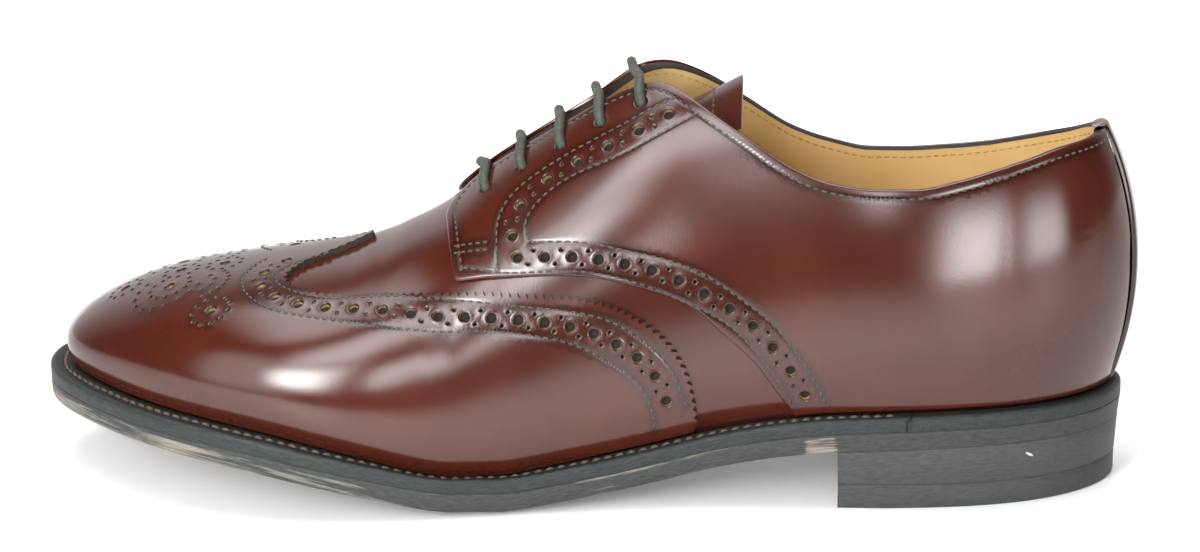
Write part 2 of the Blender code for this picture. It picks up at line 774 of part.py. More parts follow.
# Tongue, fixed under the vamp and hanging free between the quarters
tongue_ribs = np.linspace(TONGUE["station"][0], TONGUE["station"][-1], TONGUE_RIBS)
tongue_grids = []
for side in ("lateral", "medial"):
    climb = np.linspace(1, 0, TONGUE_STEPS + 1)[None, :]
    share = 1 - climb * (tongue_half(tongue_ribs) / girth(side, tongue_ribs))[:, None]
    grid = skin(side, tongue_ribs, share, -WALL - GAP)
    grid[..., 2] -= np.maximum(tongue_sag(tongue_ribs), TONGUE_CLEAR)[:, None]
    tongue_grids.append((grid, side == "medial"))
sheet("tongue", tongue_grids, tongue_leather, OVERLAY_THICK, True)

# Laces: five bars across the throat, from eyelet to facing edge and straight over the gap
lace_offset = OVERLAY_GAP + OVERLAY_THICK + GAP + LACE_RADIUS
for number, station in enumerate(LACING["station"], start=1):
    halves = []
    for side in ("lateral", "medial"):
        share = np.linspace(LACING[side][number - 1], top_line[side](station), LACE_POINTS)[None, :]
        halves.append(skin(side, [station], share, lace_offset)[0])
    path = metres(np.vstack([halves[0], halves[1][::-1]]))
    curve = bpy.data.curves.new("lace_path", "CURVE")
    curve.dimensions = "3D"
    curve.bevel_depth = LACE_RADIUS * MM
    curve.bevel_resolution = LACE_SIDES // 4
    curve.use_fill_caps = True
    line = curve.splines.new("POLY")
    line.points.add(len(path) - 1)
    for point, place in zip(line.points, path):
        point.co = (*place, 1.0)
    cord = bpy.data.objects.new("lace_path", curve)
    parts.objects.link(cord)
    bpy.context.view_layer.update()
    mesh = bpy.data.meshes.new_from_object(cord.evaluated_get(bpy.context.evaluated_depsgraph_get()))
    bpy.data.objects.remove(cord, do_unlink=True)
    build = bmesh.new()
    build.from_mesh(mesh)
    bmesh.ops.remove_doubles(build, verts=build.verts, dist=LACE_WELD)
    bmesh.ops.recalc_face_normals(build, faces=build.faces)
    build.to_mesh(mesh)
    build.free()
    mesh.shade_smooth()
    bar = bpy.data.objects.new("lace_bar_%d" % number, mesh)
    bar.data.materials.clear()
    bar.data.materials.append(lace_cotton)
    parts.objects.link(bar)

# Eyelets: holes through the facings and the lining, five on each side
for side in ("lateral", "medial"):
    build = bmesh.new()
    for station, share in zip(LACING["station"], LACING[side]):
        inner = Vector(metres(skin(side, [station], [[share]], -WALL - EYELET_TOOL_INSIDE)[0, 0]))
        above = lace_offset - LACE_RADIUS + EYELET_TOOL_OUTSIDE
        outer = Vector(metres(skin(side, [station], [[share]], above)[0, 0]))
        turn = (outer - inner).to_track_quat("Z", "Y").to_matrix().to_4x4()
        turn.translation = (inner + outer) / 2
        bmesh.ops.create_cone(build, cap_ends=True, segments=EYELET_SIDES, radius1=EYELET_RADIUS * MM,
                              radius2=EYELET_RADIUS * MM, depth=(outer - inner).length, matrix=turn)
    mesh = bpy.data.meshes.new("eyelet_tool_" + side)
    build.to_mesh(mesh)
    build.free()
    tool = cutter_object("eyelet_tool_" + side, mesh)
    cut(upper, tool)
    cut(quarters[side], tool)
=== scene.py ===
import math

import bpy
import numpy as np
from mathutils import Matrix, Vector
from mathutils.geometry import delaunay_2d_cdt


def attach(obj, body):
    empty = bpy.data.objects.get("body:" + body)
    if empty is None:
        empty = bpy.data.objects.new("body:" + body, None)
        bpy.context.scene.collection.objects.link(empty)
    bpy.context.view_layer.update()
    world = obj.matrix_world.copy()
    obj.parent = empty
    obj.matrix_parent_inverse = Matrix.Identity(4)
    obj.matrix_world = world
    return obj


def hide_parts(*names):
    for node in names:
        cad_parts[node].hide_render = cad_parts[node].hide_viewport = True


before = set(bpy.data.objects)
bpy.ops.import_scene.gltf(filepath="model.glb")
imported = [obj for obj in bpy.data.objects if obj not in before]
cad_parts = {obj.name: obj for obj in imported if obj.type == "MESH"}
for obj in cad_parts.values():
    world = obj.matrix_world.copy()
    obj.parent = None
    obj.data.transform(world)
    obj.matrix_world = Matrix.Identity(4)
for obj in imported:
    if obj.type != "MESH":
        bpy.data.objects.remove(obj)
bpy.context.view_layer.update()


# Insole: a board of tan vegetable-tanned leather, the first piece on the last.
# It is cut to the sole's outline less the feather edge, and the upper is pulled over it.
# Places are millimetres: stations run from the back of the sole to the toe tip, y to the medial side.
MM = 0.001
CENTRE_STATION = 151.18
CENTRE_Y = 1.02
GAP = 0.3
OUTSOLE_THICK = 5.0
WELT_THICK = 4.0
WELT_UNDER_WALL = 2.3
INSOLE_ABOVE_WELT = 2.2
INSOLE_LIFT = 0.4
OUTLINE_POINTS = 1600
PLATE_STEP = 1.0
INSOLE_POINTS = 120
INSOLE_ROUND = 0.6


def table(names, rows):
    values = np.array(rows, float)
    return {name: values[:, i] for i, name in enumerate(names.split())}


SOLE_OUTLINE = table("station lateral medial", [
    (0.0, -1.0, 1.0), (3.5, 10.5, 12.5), (12.0, 20.5, 22.5), (25.0, 28.5, 29.5), (45.0, 34.3, 33.5),
    (70.0, 36.5, 33.0), (95.0, 36.0, 29.5), (120.0, 36.5, 28.0), (145.0, 39.8, 32.0), (170.0, 44.2, 40.0),
    (195.0, 49.0, 48.0), (215.0, 51.0, 52.0), (236.0, 49.5, 53.0), (256.0, 43.5, 50.5), (274.0, 33.5, 45.5),
    (288.0, 22.0, 38.5), (297.5, 12.0, 31.0), (303.8, 1.5, 22.0), (306.0, -10.5, 10.5)])
SOLE_UNDER = table("station height", [
    (0.0, 18.0), (40.0, 17.7), (80.0, 16.4), (95.0, 14.8), (108.0, 12.6), (131.0, 7.4), (150.0, 3.6),
    (160.0, 1.7), (166.0, 0.6), (172.0, 0.0), (184.0, 0.0), (190.0, 0.8), (198.0, 2.9), (208.0, 6.0),
    (222.0, 9.8), (236.0, 12.9), (255.0, 15.4), (275.0, 16.9), (306.0, 19.0)])
FEATHER = table("station inset", [
    (0.0, 4.7), (60.0, 5.5), (100.0, 6.5), (150.0, 7.5), (200.0, 8.5), (250.0, 8.5), (306.0, 8.0)])


def spline(xs, ys):
    count = len(xs)
    span = np.diff(xs)
    matrix = np.eye(count)
    right = np.zeros(count)
    for i in range(1, count - 1):
        matrix[i, i - 1:i + 2] = span[i - 1], 2 * (span[i - 1] + span[i]), span[i]
        right[i] = 6 * ((ys[i + 1] - ys[i]) / span[i] - (ys[i] - ys[i - 1]) / span[i - 1])
    bend = np.linalg.solve(matrix, right)

    def value(x):
        x = np.asarray(x, float)
        i = np.clip(np.searchsorted(xs, x) - 1, 0, count - 2)
        a = (xs[i + 1] - x) / span[i]
        b = (x - xs[i]) / span[i]
        curve = (a ** 3 - a) * bend[i] + (b ** 3 - b) * bend[i + 1]
        return a * ys[i] + b * ys[i + 1] + curve * span[i] ** 2 / 6
    return value


def steady(xs, ys):
    span = np.diff(xs)
    rise = np.diff(ys) / span
    slope = np.zeros(len(xs))
    for i in range(1, len(xs) - 1):
        if rise[i - 1] * rise[i] > 0:
            before = 2 * span[i] + span[i - 1]
            after = span[i] + 2 * span[i - 1]
            slope[i] = (before + after) / (before / rise[i - 1] + after / rise[i])
    slope[0] = rise[0]
    slope[-1] = rise[-1]

    def value(x):
        x = np.clip(np.asarray(x, float), xs[0], xs[-1])
        i = np.clip(np.searchsorted(xs, x) - 1, 0, len(xs) - 2)
        t = (x - xs[i]) / span[i]
        ends = ys[i] * (1 + 2 * t) * (1 - t) ** 2 + ys[i + 1] * t * t * (3 - 2 * t)
        return ends + span[i] * (slope[i] * t * (1 - t) ** 2 + slope[i + 1] * t * t * (t - 1))
    return value


sole_under = steady(SOLE_UNDER["station"], SOLE_UNDER["height"])
feather_inset = spline(FEATHER["station"], FEATHER["inset"])


def welt_under(s):
    return sole_under(s) + OUTSOLE_THICK + GAP


def welt_top(s):
    return welt_under(s) + WELT_THICK


def closed_outline():
    s = SOLE_OUTLINE["station"]
    medial = SOLE_OUTLINE["medial"]
    loop = np.vstack([np.c_[s, -SOLE_OUTLINE["lateral"]], np.c_[s[-2:0:-1], medial[-2:0:-1]]])
    wrap = 5
    wrapped = np.vstack([loop[-wrap:], loop, loop[:wrap + 1]])
    along = np.r_[0, np.cumsum(np.linalg.norm(np.diff(wrapped, axis=0), axis=1))]
    station = spline(along, wrapped[:, 0])
    across = spline(along, wrapped[:, 1])
    back, tip, end = along[wrap], along[wrap + len(s) - 1], along[wrap + len(loop)]
    t = np.r_[np.linspace(back, tip, OUTLINE_POINTS, endpoint=False),
              np.linspace(tip, end, OUTLINE_POINTS, endpoint=False)]
    step = 0.01
    tangent = np.c_[station(t + step) - station(t - step), across(t + step) - across(t - step)]
    tangent /= np.linalg.norm(tangent, axis=1)[:, None]
    return np.c_[station(t), across(t)], np.c_[-tangent[:, 1], tangent[:, 0]]


OUTLINE, OUTLINE_INWARD = closed_outline()


def inset_outline(inset):
    return OUTLINE + OUTLINE_INWARD * (inset * np.ones(len(OUTLINE)))[:, None]


def run_of(line):
    return np.r_[0, np.cumsum(np.linalg.norm(np.diff(line, axis=0), axis=1))]


def resample(line, step):
    run = run_of(line)
    t = np.linspace(0, run[-1], max(2, int(round(run[-1] / step)) + 1))
    return np.stack([np.interp(t, run, line[:, k]) for k in range(line.shape[1])], axis=1)


def metres(points):
    points = np.asarray(points, float)
    station, y, height = np.moveaxis(points, -1, 0)
    return np.stack([CENTRE_STATION - station, y - CENTRE_Y, height], axis=-1) * MM


def piece(name, points, faces, looks, nodes=(), look_index=None, marks=None, facing=None, flat=()):
    mesh = bpy.data.meshes.new(name)
    mesh.from_pydata(metres(points).tolist(), [], [tuple(map(int, f)) for f in faces])
    mesh.update()
    mesh.shade_smooth()
    for look in looks:
        mesh.materials.append(look)
    if look_index is not None:
        mesh.polygons.foreach_set("material_index", np.asarray(look_index, np.int32))
        mesh.polygons.foreach_set("use_smooth", ~np.isin(look_index, flat))
    for mark, values in (marks or {}).items():
        layer = mesh.attributes.new(mark, "FLOAT", "POINT")
        layer.data.foreach_set("value", np.asarray(values, np.float32))
    if facing is not None:
        mesh.normals_split_custom_set_from_vertices((facing * (-1, 1, 1)).tolist())
    made = bpy.data.objects.new(name, mesh)
    bpy.context.scene.collection.objects.link(made)
    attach(made, "root")
    if nodes:
        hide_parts(*nodes)
    return made


def hex_colour(code):
    srgb = np.array([int(code[i:i + 2], 16) for i in (0, 2, 4)]) / 255
    linear = np.where(srgb <= 0.04045, srgb / 12.92, ((srgb + 0.055) / 1.055) ** 2.4)
    return (*linear.tolist(), 1.0)


def add(tree, kind, inputs=None, stops=(), **settings):
    made = tree.nodes.new("ShaderNode" + kind)
    for name, value in settings.items():
        setattr(made, name, value)
    for name, value in (inputs or {}).items():
        if isinstance(value, bpy.types.NodeSocket):
            tree.links.new(value, made.inputs[name])
        else:
            made.inputs[name].default_value = value
    for i, (at, code) in enumerate(stops):
        made.color_ramp.elements[i].position = at
        made.color_ramp.elements[i].color = hex_colour(code)
    return made


def new_look(name):
    look = bpy.data.materials.new(name)
    look.use_nodes = True
    tree = look.node_tree
    return look, tree, tree.nodes["Principled BSDF"], add(tree, "TexCoord").outputs["Object"]


def finish_with(tree, shader, colour, roughness, bump):
    tree.links.new(colour, shader.inputs["Base Color"])
    tree.links.new(roughness, shader.inputs["Roughness"])
    tree.links.new(bump, shader.inputs["Normal"])


# A look made of one fine pattern: its size, two colour stops, the ends of its roughness and its relief
def grained_look(name, size, detail, stops, rough, relief, height=0.0001):
    look, tree, shader, place = new_look(name)
    grain = add(tree, "TexNoise", {"Vector": place, "Scale": 1000 / size, "Detail": detail})
    tint = add(tree, "ValToRGB", {"Fac": grain.outputs["Fac"]}, stops)
    dull = add(tree, "MapRange", {"Value": grain.outputs["Fac"], "To Min": rough[0], "To Max": rough[1]})
    bump = add(tree, "Bump", {"Height": grain.outputs["Fac"], "Strength": relief, "Distance": height})
    finish_with(tree, shader, tint.outputs["Color"], dull.outputs["Result"], bump.outputs["Normal"])
    return look


# Tan vegetable-tanned leather: matt and warm, with cloudy colour and a fine soft grain
TAN_GRAIN = 0.9
TAN_CLOUD = 18.0
tan_leather, tree, shader, place = new_look("tan_vegetable_tanned_leather")
cloud = add(tree, "TexNoise", {"Vector": place, "Scale": 1000 / TAN_CLOUD, "Detail": 3.0})
tint = add(tree, "ValToRGB", {"Fac": cloud.outputs["Fac"]}, [(0.3, "b98a4a"), (0.75, "d3a866")])
grain = add(tree, "TexNoise", {"Vector": place, "Scale": 1000 / TAN_GRAIN, "Detail": 4.0})
rough = add(tree, "MapRange", {"Value": grain.outputs["Fac"], "To Min": 0.5, "To Max": 0.68})
bump = add(tree, "Bump", {"Height": grain.outputs["Fac"], "Strength": 0.3, "Distance": 0.0001})
finish_with(tree, shader, tint.outputs["Color"], rough.outputs["Result"], bump.outputs["Normal"])


# A plate with the sole's outline: layers of inset, height and wear from the floor upward
def plate(name, layers, count, look, nodes):
    rings = []
    worn = []
    rise = []
    for inset, height, wear in layers:
        ring = inset_outline(inset(OUTLINE[:, 0]))
        ring = resample(np.vstack([ring, ring[:1]]), PLATE_STEP)
        ring = resample(ring, run_of(ring)[-1] / (2 * count))[:-1]
        rings.append(np.c_[ring, height(ring[:, 0]) * np.ones(len(ring))])
        worn.append(wear(ring[:, 0]) * np.ones(len(ring)))
        rise.append(rings[-1][:, 2] - sole_under(ring[:, 0]))
    around = len(rings[0])
    faces = []
    for layer in range(len(rings) - 1):
        for i in range(around):
            a = layer * around + i
            b = layer * around + (i + 1) % around
            faces.append((a, a + around, b + around, b))
    top = (len(rings) - 1) * around
    for i in range(around // 2):
        j = around - 1 - i
        if j - 1 > i + 1 or j > i + 1:
            faces.append((i, i + 1, j - 1, j) if j - 1 != i + 1 else (i, i + 1, j))
            faces.append((top + j, top + j - 1, top + i + 1, top + i) if j - 1 != i + 1
                         else (top + j, top + i + 1, top + i))
    return piece(name, np.vstack(rings), faces, [look], nodes,
                 marks={"worn": np.concatenate(worn), "rise": np.concatenate(rise)})


def same(value):
    return lambda s: value


def insole_inset(s):
    return feather_inset(s) + WELT_UNDER_WALL + GAP


plate("insole_board", [
    (insole_inset, lambda s: welt_under(s) + INSOLE_LIFT, same(0.0)),
    (insole_inset, lambda s: welt_top(s) + INSOLE_ABOVE_WELT - INSOLE_ROUND, same(0.0)),
    (lambda s: insole_inset(s) + INSOLE_ROUND, lambda s: welt_top(s) + INSOLE_ABOVE_WELT, same(0.0))],
    INSOLE_POINTS, tan_leather, ["insole"])


# Lining: thin glazed tan calf, glued inside the vamp and the quarters and trimmed at the top line.
# It shows inside the collar, where a seam runs close below the edge.
# All of the upper follows the last: upright ribs, straight across between a heel and a toe axis and
# fanned about each axis beyond it. A rib's number is its station, carried on round each fan.
WALL = 1.8
FOOT_GAP = 0.5
HEEL_AXIS = 36.0
TOE_AXIS = 262.0
HEEL_FAN = 30.0
TOE_FAN = 35.0
RIB_FIRST = HEEL_AXIS - HEEL_FAN * math.pi / 2
RIB_LAST = TOE_AXIS + TOE_FAN * math.pi / 2
SIDES = ("lateral", "medial")
CREST = table("station height", [
    (-12.0, 119.0), (10.0, 119.5), (36.0, 123.0), (70.0, 127.0), (100.0, 124.5), (120.0, 120.0),
    (130.0, 116.8), (138.0, 112.6), (147.0, 106.6), (156.0, 100.0), (170.0, 90.0), (180.0, 82.5),
    (187.0, 77.0), (192.5, 73.3), (204.0, 67.6), (215.0, 63.2), (238.0, 58.3), (262.0, 54.5),
    (280.0, 51.0), (306.0, 43.0)])
RIDGE = table("station y", [
    (36.0, 1.0), (80.0, 3.0), (120.0, 7.0), (150.0, 8.5), (185.0, 8.0), (220.0, 7.0), (262.0, 6.0)])
SWELL = table("station out_lateral out_medial rise_lateral rise_medial full_lateral full_medial", [
    (-12.0, 6.0, 6.0, 33.0, 33.0, 0.00, 0.00), (10.0, 5.0, 5.0, 30.0, 30.0, 0.00, 0.00),
    (36.0, 3.6, 3.6, 25.0, 25.0, 0.00, 0.00), (80.0, 3.2, 4.5, 20.0, 22.0, 0.00, 0.00),
    (120.0, 3.6, 6.5, 15.0, 22.0, 0.01, 0.01), (160.0, 4.0, 5.5, 12.0, 15.0, 0.02, 0.05),
    (200.0, 3.6, 4.0, 10.0, 11.0, 0.03, 0.03), (240.0, 2.6, 2.8, 9.0, 9.0, 0.03, 0.03),
    (262.0, 2.0, 2.0, 8.0, 8.0, 0.03, 0.03), (317.0, 1.2, 1.2, 6.0, 6.0, 0.03, 0.03)])
crest_height = spline(CREST["station"], CREST["height"])
ridge_y = spline(RIDGE["station"], RIDGE["y"])
swell = {name: spline(SWELL["station"], SWELL[name]) for name in SWELL}
FEATHER_LOOP = inset_outline(feather_inset(OUTLINE[:, 0]))
FEATHER_SIDES = {"lateral": FEATHER_LOOP[:OUTLINE_POINTS + 1],
                 "medial": np.vstack([FEATHER_LOOP[OUTLINE_POINTS:], FEATHER_LOOP[:1]])[::-1]}


def fan_reach(axis, ds, dy):
    offset = FEATHER_LOOP - (axis, ridge_y(axis))
    angle = np.arctan2(offset[:, 1], offset[:, 0])
    order = np.argsort(angle)
    radius = np.hypot(offset[order, 0], offset[order, 1])
    angle = np.r_[angle[order[-1]] - 2 * math.pi, angle[order], angle[order[0]] + 2 * math.pi]
    return np.interp(np.arctan2(dy, ds), angle, np.r_[radius[-1], radius, radius[0]])


# A point of the last: climb runs from 0 at the feather to 1 at the belly and 2 at the crest
def rib_point(side, rib, climb):
    out_to = -1.0 if side == "lateral" else 1.0
    toe = np.maximum(rib - TOE_AXIS, 0) / TOE_FAN
    heel = np.maximum(HEEL_AXIS - rib, 0) / HEEL_FAN
    s0 = np.clip(rib, HEEL_AXIS, TOE_AXIS)
    y0 = ridge_y(s0)
    ds = np.sin(toe) - np.sin(heel)
    dy = out_to * np.cos(toe) * np.cos(heel)
    branch = FEATHER_SIDES[side]
    reach = np.abs(np.interp(s0, np.maximum.accumulate(branch[:, 0]), branch[:, 1]) - y0)
    reach = np.where(rib > TOE_AXIS, fan_reach(TOE_AXIS, ds, dy), reach)
    reach = np.where(rib < HEEL_AXIS, fan_reach(HEEL_AXIS, ds, dy), reach)
    out = swell["out_" + side](rib)
    rise = swell["rise_" + side](rib)
    low = np.clip(climb, 0, 1)
    turn = np.clip(climb - 1, 0, 1) * math.pi / 2
    puff = 1 + swell["full_" + side](rib) * np.sin(2 * turn) ** 2
    distance = np.where(climb < 1, reach + out * (1 - (1 - low) ** 2), (reach + out) * np.cos(turn) * puff)
    s = s0 + ds * distance
    foot = welt_top(s0 + ds * reach) + FOOT_GAP
    belly = foot + rise
    height = np.where(climb < 1, foot + rise * low, belly + (crest_height(s) - belly) * np.sin(turn) * puff)
    return np.stack([s, y0 + dy * distance, height], axis=-1)


RIB_GRID = np.linspace(RIB_FIRST, RIB_LAST, 420)
CLIMB_GRID = np.linspace(0, 2, 161)
SHARE_GRID = np.linspace(0, 1, 301)
GIRTH = {}
CLIMB_BY_SHARE = {}
for side in SIDES:
    lines = rib_point(side, *np.meshgrid(RIB_GRID, CLIMB_GRID, indexing="ij"))
    steps = np.linalg.norm(np.diff(lines, axis=1), axis=2)
    runs = np.hstack([np.zeros((len(RIB_GRID), 1)), np.cumsum(steps, axis=1)])
    GIRTH[side] = runs[:, -1]
    CLIMB_BY_SHARE[side] = np.array([np.interp(SHARE_GRID * run[-1], run, CLIMB_GRID) for run in runs])


def girth(side, rib):
    return np.interp(rib, RIB_GRID, GIRTH[side])


# The upper's leather is cut from a flat pattern: a is the rib's station and b the way round the
# girth from the crest, lateral negative. In front of the toe axis the ribs fan out about it.
def pattern(side, rib, share):
    rib, share = np.broadcast_arrays(np.asarray(rib, float), np.asarray(share, float))
    from_crest = (1 - share) * girth(side, rib)
    fan = np.maximum(rib - TOE_AXIS, 0) / TOE_FAN
    a = np.where(rib > TOE_AXIS, TOE_AXIS + from_crest * np.sin(fan), rib)
    return np.stack([a, (-1 if side == "lateral" else 1) * from_crest * np.cos(fan)], axis=-1)


def surface(ab):
    a, b = ab[:, 0], ab[:, 1]
    ahead = np.maximum(a - TOE_AXIS, 0)
    rib = np.where(a > TOE_AXIS, TOE_AXIS + TOE_FAN * np.arctan2(ahead, np.abs(b)), a)
    from_crest = np.where(a > TOE_AXIS, np.hypot(ahead, b), np.abs(b))
    places = np.empty((len(a), 3))
    for side, mine in (("lateral", b < 0), ("medial", b >= 0)):
        row = (rib[mine] - RIB_FIRST) / (RIB_LAST - RIB_FIRST) * (len(RIB_GRID) - 1)
        share = np.clip(1 - from_crest[mine] / girth(side, rib[mine]), 0, 1)
        column = share * (len(SHARE_GRID) - 1)
        i = np.clip(row.astype(int), 0, len(RIB_GRID) - 2)
        j = np.clip(column.astype(int), 0, len(SHARE_GRID) - 2)
        u = np.clip(row - i, 0, 1)
        v = column - j
        grid = CLIMB_BY_SHARE[side]
        climb = (1 - u) * ((1 - v) * grid[i, j] + v * grid[i, j + 1])
        climb = climb + u * ((1 - v) * grid[i + 1, j] + v * grid[i + 1, j + 1])
        places[mine] = rib_point(side, rib[mine], climb)
    return places


# Points at a height above the last and the directions that face away from it there
def skin(ab, lift):
    ab = np.asarray(ab, float).reshape(-1, 2)
    step = 0.4
    along = surface(ab + (step, 0)) - surface(ab - (step, 0))
    across = surface(ab + (0, step)) - surface(ab - (0, step))
    normal = np.cross(along, across)
    normal /= np.linalg.norm(normal, axis=1)[:, None]
    return surface(ab) + normal * (np.ones(len(ab)) * lift)[:, None], normal


TOP_LINE = table("station lateral medial", [
    (-13.0, 0.661, 0.661), (-10.0, 0.661, 0.661), (12.0, 0.664, 0.618), (32.0, 0.632, 0.580),
    (47.0, 0.578, 0.549), (60.0, 0.546, 0.537), (70.0, 0.543, 0.541), (82.0, 0.558, 0.577),
    (92.0, 0.598, 0.629), (106.0, 0.692, 0.748), (115.0, 0.760, 0.830), (122.0, 0.818, 0.884),
    (126.0, 0.850, 0.910), (130.0, 0.870, 0.929), (136.0, 0.880, 0.945), (150.0, 0.896, 0.915),
    (165.0, 0.922, 0.917), (178.0, 0.946, 0.942), (183.0, 0.936, 0.935), (186.5, 0.894, 0.894),
    (188.0, 0.830, 0.830)])
THROAT = table("station share", [(172.0, 0.918), (182.0, 0.934), (188.0, 0.952), (192.0, 1.000)])
top_line = {side: steady(TOP_LINE["station"], TOP_LINE[side]) for side in SIDES}
throat_line = steady(THROAT["station"], THROAT["share"])
LEAST_SHARE = 0.004


def upper_foot(side, rib):
    return np.full(len(rib), LEAST_SHARE)


def upper_top(side, rib):
    return np.where(rib > THROAT["station"][0], throat_line(rib), top_line[side](rib))


def grid_faces(rows, columns, turned):
    i, j = np.meshgrid(np.arange(rows - 1), np.arange(columns - 1), indexing="ij")
    a = (i * columns + j).ravel()
    faces = np.stack([a, a + 1, a + columns + 1, a + columns], axis=1)
    return faces[:, ::-1] if turned else faces


# A sheet of ribs on both sides of the last, from a lower to an upper share and at one height
def ribbed_sheet(ribs, low, high, steps, lift, hollow):
    points = []
    faces = []
    count = 0
    for side in SIDES:
        climb = np.linspace(0, 1, steps + 1)[None, :]
        share = low(side, ribs)[:, None] + (high(side, ribs) - low(side, ribs))[:, None] * climb
        ab = pattern(side, ribs[:, None] * np.ones_like(share), share).reshape(-1, 2)
        places, _ = skin(ab, lift(ab))
        points.append(places)
        faces.append(count + grid_faces(len(ribs), steps + 1, (side == "medial") != hollow))
        count += len(places)
    return np.vstack(points), np.vstack(faces)


LINING_STEPS = 36
LINING_RIBS = np.r_[np.linspace(RIB_FIRST, HEEL_AXIS, 26), np.arange(39.0, TOE_AXIS, 3.0),
                    np.linspace(TOE_AXIS, RIB_LAST, 22)]
points, faces = ribbed_sheet(LINING_RIBS, upper_foot, upper_top, LINING_STEPS, lambda ab: -WALL, True)

# Glazed calf lining: golden tan and smooth, with a soft sheen and slightly cloudy dye
LINING_GRAIN = 0.7
LINING_CLOUD = 30.0
calf_lining, tree, shader, place = new_look("glazed_calf_lining")
cloud = add(tree, "TexNoise", {"Vector": place, "Scale": 1000 / LINING_CLOUD, "Detail": 4.0})
tint = add(tree, "ValToRGB", {"Fac": cloud.outputs["Fac"]}, [(0.25, "cda766"), (0.75, "e2c48b")])
grain = add(tree, "TexNoise", {"Vector": place, "Scale": 1000 / LINING_GRAIN, "Detail": 3.0})
rough = add(tree, "MapRange", {"Value": cloud.outputs["Fac"], "To Min": 0.38, "To Max": 0.52})
bump = add(tree, "Bump", {"Height": grain.outputs["Fac"], "Strength": 0.25, "Distance": 0.0001})
finish_with(tree, shader, tint.outputs["Color"], rough.outputs["Result"], bump.outputs["Normal"])
piece("lining", points, faces, [calf_lining])


# Vamp: burgundy-brown calf, drawn over the toe and instep of the last and tucked under the wing
# cap in front and the quarters behind. Walking has left soft cross creases where the foot bends.
VAMP_RIBS = np.r_[np.linspace(RIB_FIRST, 84.0, 44), np.arange(86.0, TOE_AXIS, 1.1),
                  np.linspace(TOE_AXIS, RIB_LAST, 40)]
VAMP_THROAT = table("station share", [(172.0, 0.918), (180.0, 0.945), (184.0, 0.968), (188.0, 1.000)])
VAMP_STEPS = 96
UNDER_TOP_LINE = 0.012
LASTED_EDGE = 1.3
LASTED_PAINTED_SHADE = 1.0
FEATHER_PAINTED_SHADE = 0.8
VAMP_CREASES = table("rib share_low depth width", [(206.0, 0.60, 0.22, 3.5), (216.0, 0.66, 0.16, 3.0)])
vamp_throat = steady(VAMP_THROAT["station"], VAMP_THROAT["share"])


def vamp_top(side, rib):
    return np.where(rib > VAMP_THROAT["station"][0], vamp_throat(rib), top_line[side](rib) - UNDER_TOP_LINE)


def vamp_lift(ab):
    lift = np.zeros(len(ab))
    from_crest = np.abs(ab[:, 1])
    for rib, low, depth, width in zip(*VAMP_CREASES.values()):
        reach = (1 - low) * girth("lateral", rib)
        fade = np.clip(1 - from_crest / reach, 0, 1) ** 0.5
        lift -= depth * fade * np.exp(-((ab[:, 0] - rib) / width) ** 2)
    return lift


points, faces = ribbed_sheet(VAMP_RIBS, upper_foot, vamp_top, VAMP_STEPS, vamp_lift, False)
columns = VAMP_STEPS + 1
lasted = []
for k, side in enumerate(SIDES):
    edge = (k * len(VAMP_RIBS) + np.arange(len(VAMP_RIBS))) * columns
    low = len(points) + np.arange(len(edge))
    points = np.vstack([points, points[edge] - (0, 0, LASTED_EDGE)])
    strip = np.stack([low[:-1], edge[:-1], edge[1:], low[1:]], axis=1)
    lasted.append(strip[:, ::-1] if side == "medial" else strip)
faces = np.vstack([faces] + lasted)
# Painted shade: the lasted edge and the feather row darken where the upper runs down into the crevice by the
# welt
vamp_crevice_shade = np.zeros(len(points))
vamp_crevice_shade[-2 * len(VAMP_RIBS):] = LASTED_PAINTED_SHADE
for k in range(len(SIDES)):
    vamp_crevice_shade[(k * len(VAMP_RIBS) + np.arange(len(VAMP_RIBS))) * columns] = FEATHER_PAINTED_SHADE

# Polished aniline calf: deep red-brown with a cloudy patina, darker along seams, under a wax shine.
# The pores are finer than a pixel, so the grain is drawn about twice as coarse as it is.
CALF_GRAIN = 0.8
CALF_PATINA = 34.0
CALF_HAZE = 9.0
CALF_SPECK = 2.4
SPECK_SHARE = 0.12
polished_calf, tree, shader, place = new_look("polished_aniline_calf")
patina = add(tree, "TexNoise", {"Vector": place, "Scale": 1000 / CALF_PATINA, "Detail": 3.0,
                                "Roughness": 0.55})
speck = add(tree, "TexNoise", {"Vector": place, "Scale": 1000 / CALF_SPECK, "Detail": 2.0})
cloud = add(tree, "Math", {0: patina.outputs["Fac"], 1: 1 - SPECK_SHARE}, operation="MULTIPLY")
cloud = add(tree, "Math", {0: speck.outputs["Fac"], 1: SPECK_SHARE, 2: cloud.outputs["Value"]},
            operation="MULTIPLY_ADD")
tint = add(tree, "ValToRGB", {"Fac": cloud.outputs["Value"]}, [(0.3, "3a160d"), (0.72, "4b2014")])
seam = add(tree, "Attribute", attribute_name="seam")
# Seams and holes darken the calf, and along the vamp's lasted edge the same mark is painted shade by the welt
seam_dark_and_shade = add(tree, "MapRange", {"Value": seam.outputs["Fac"], "To Min": 0.0, "To Max": 0.9})
shade = add(tree, "MixRGB", {"Fac": seam_dark_and_shade.outputs["Result"], "Color1": tint.outputs["Color"],
                             "Color2": hex_colour("170906")})
haze = add(tree, "TexNoise", {"Vector": place, "Scale": 1000 / CALF_HAZE, "Detail": 2.0})
rough = add(tree, "MapRange", {"Value": haze.outputs["Fac"], "To Min": 0.4, "To Max": 0.52})
grain = add(tree, "TexVoronoi", {"Vector": place, "Scale": 1000 / CALF_GRAIN})
pores = add(tree, "TexNoise", {"Vector": place, "Scale": 1000 / CALF_GRAIN, "Detail": 3.0})
relief = add(tree, "Math", {0: grain.outputs["Distance"], 1: pores.outputs["Fac"]}, operation="ADD")
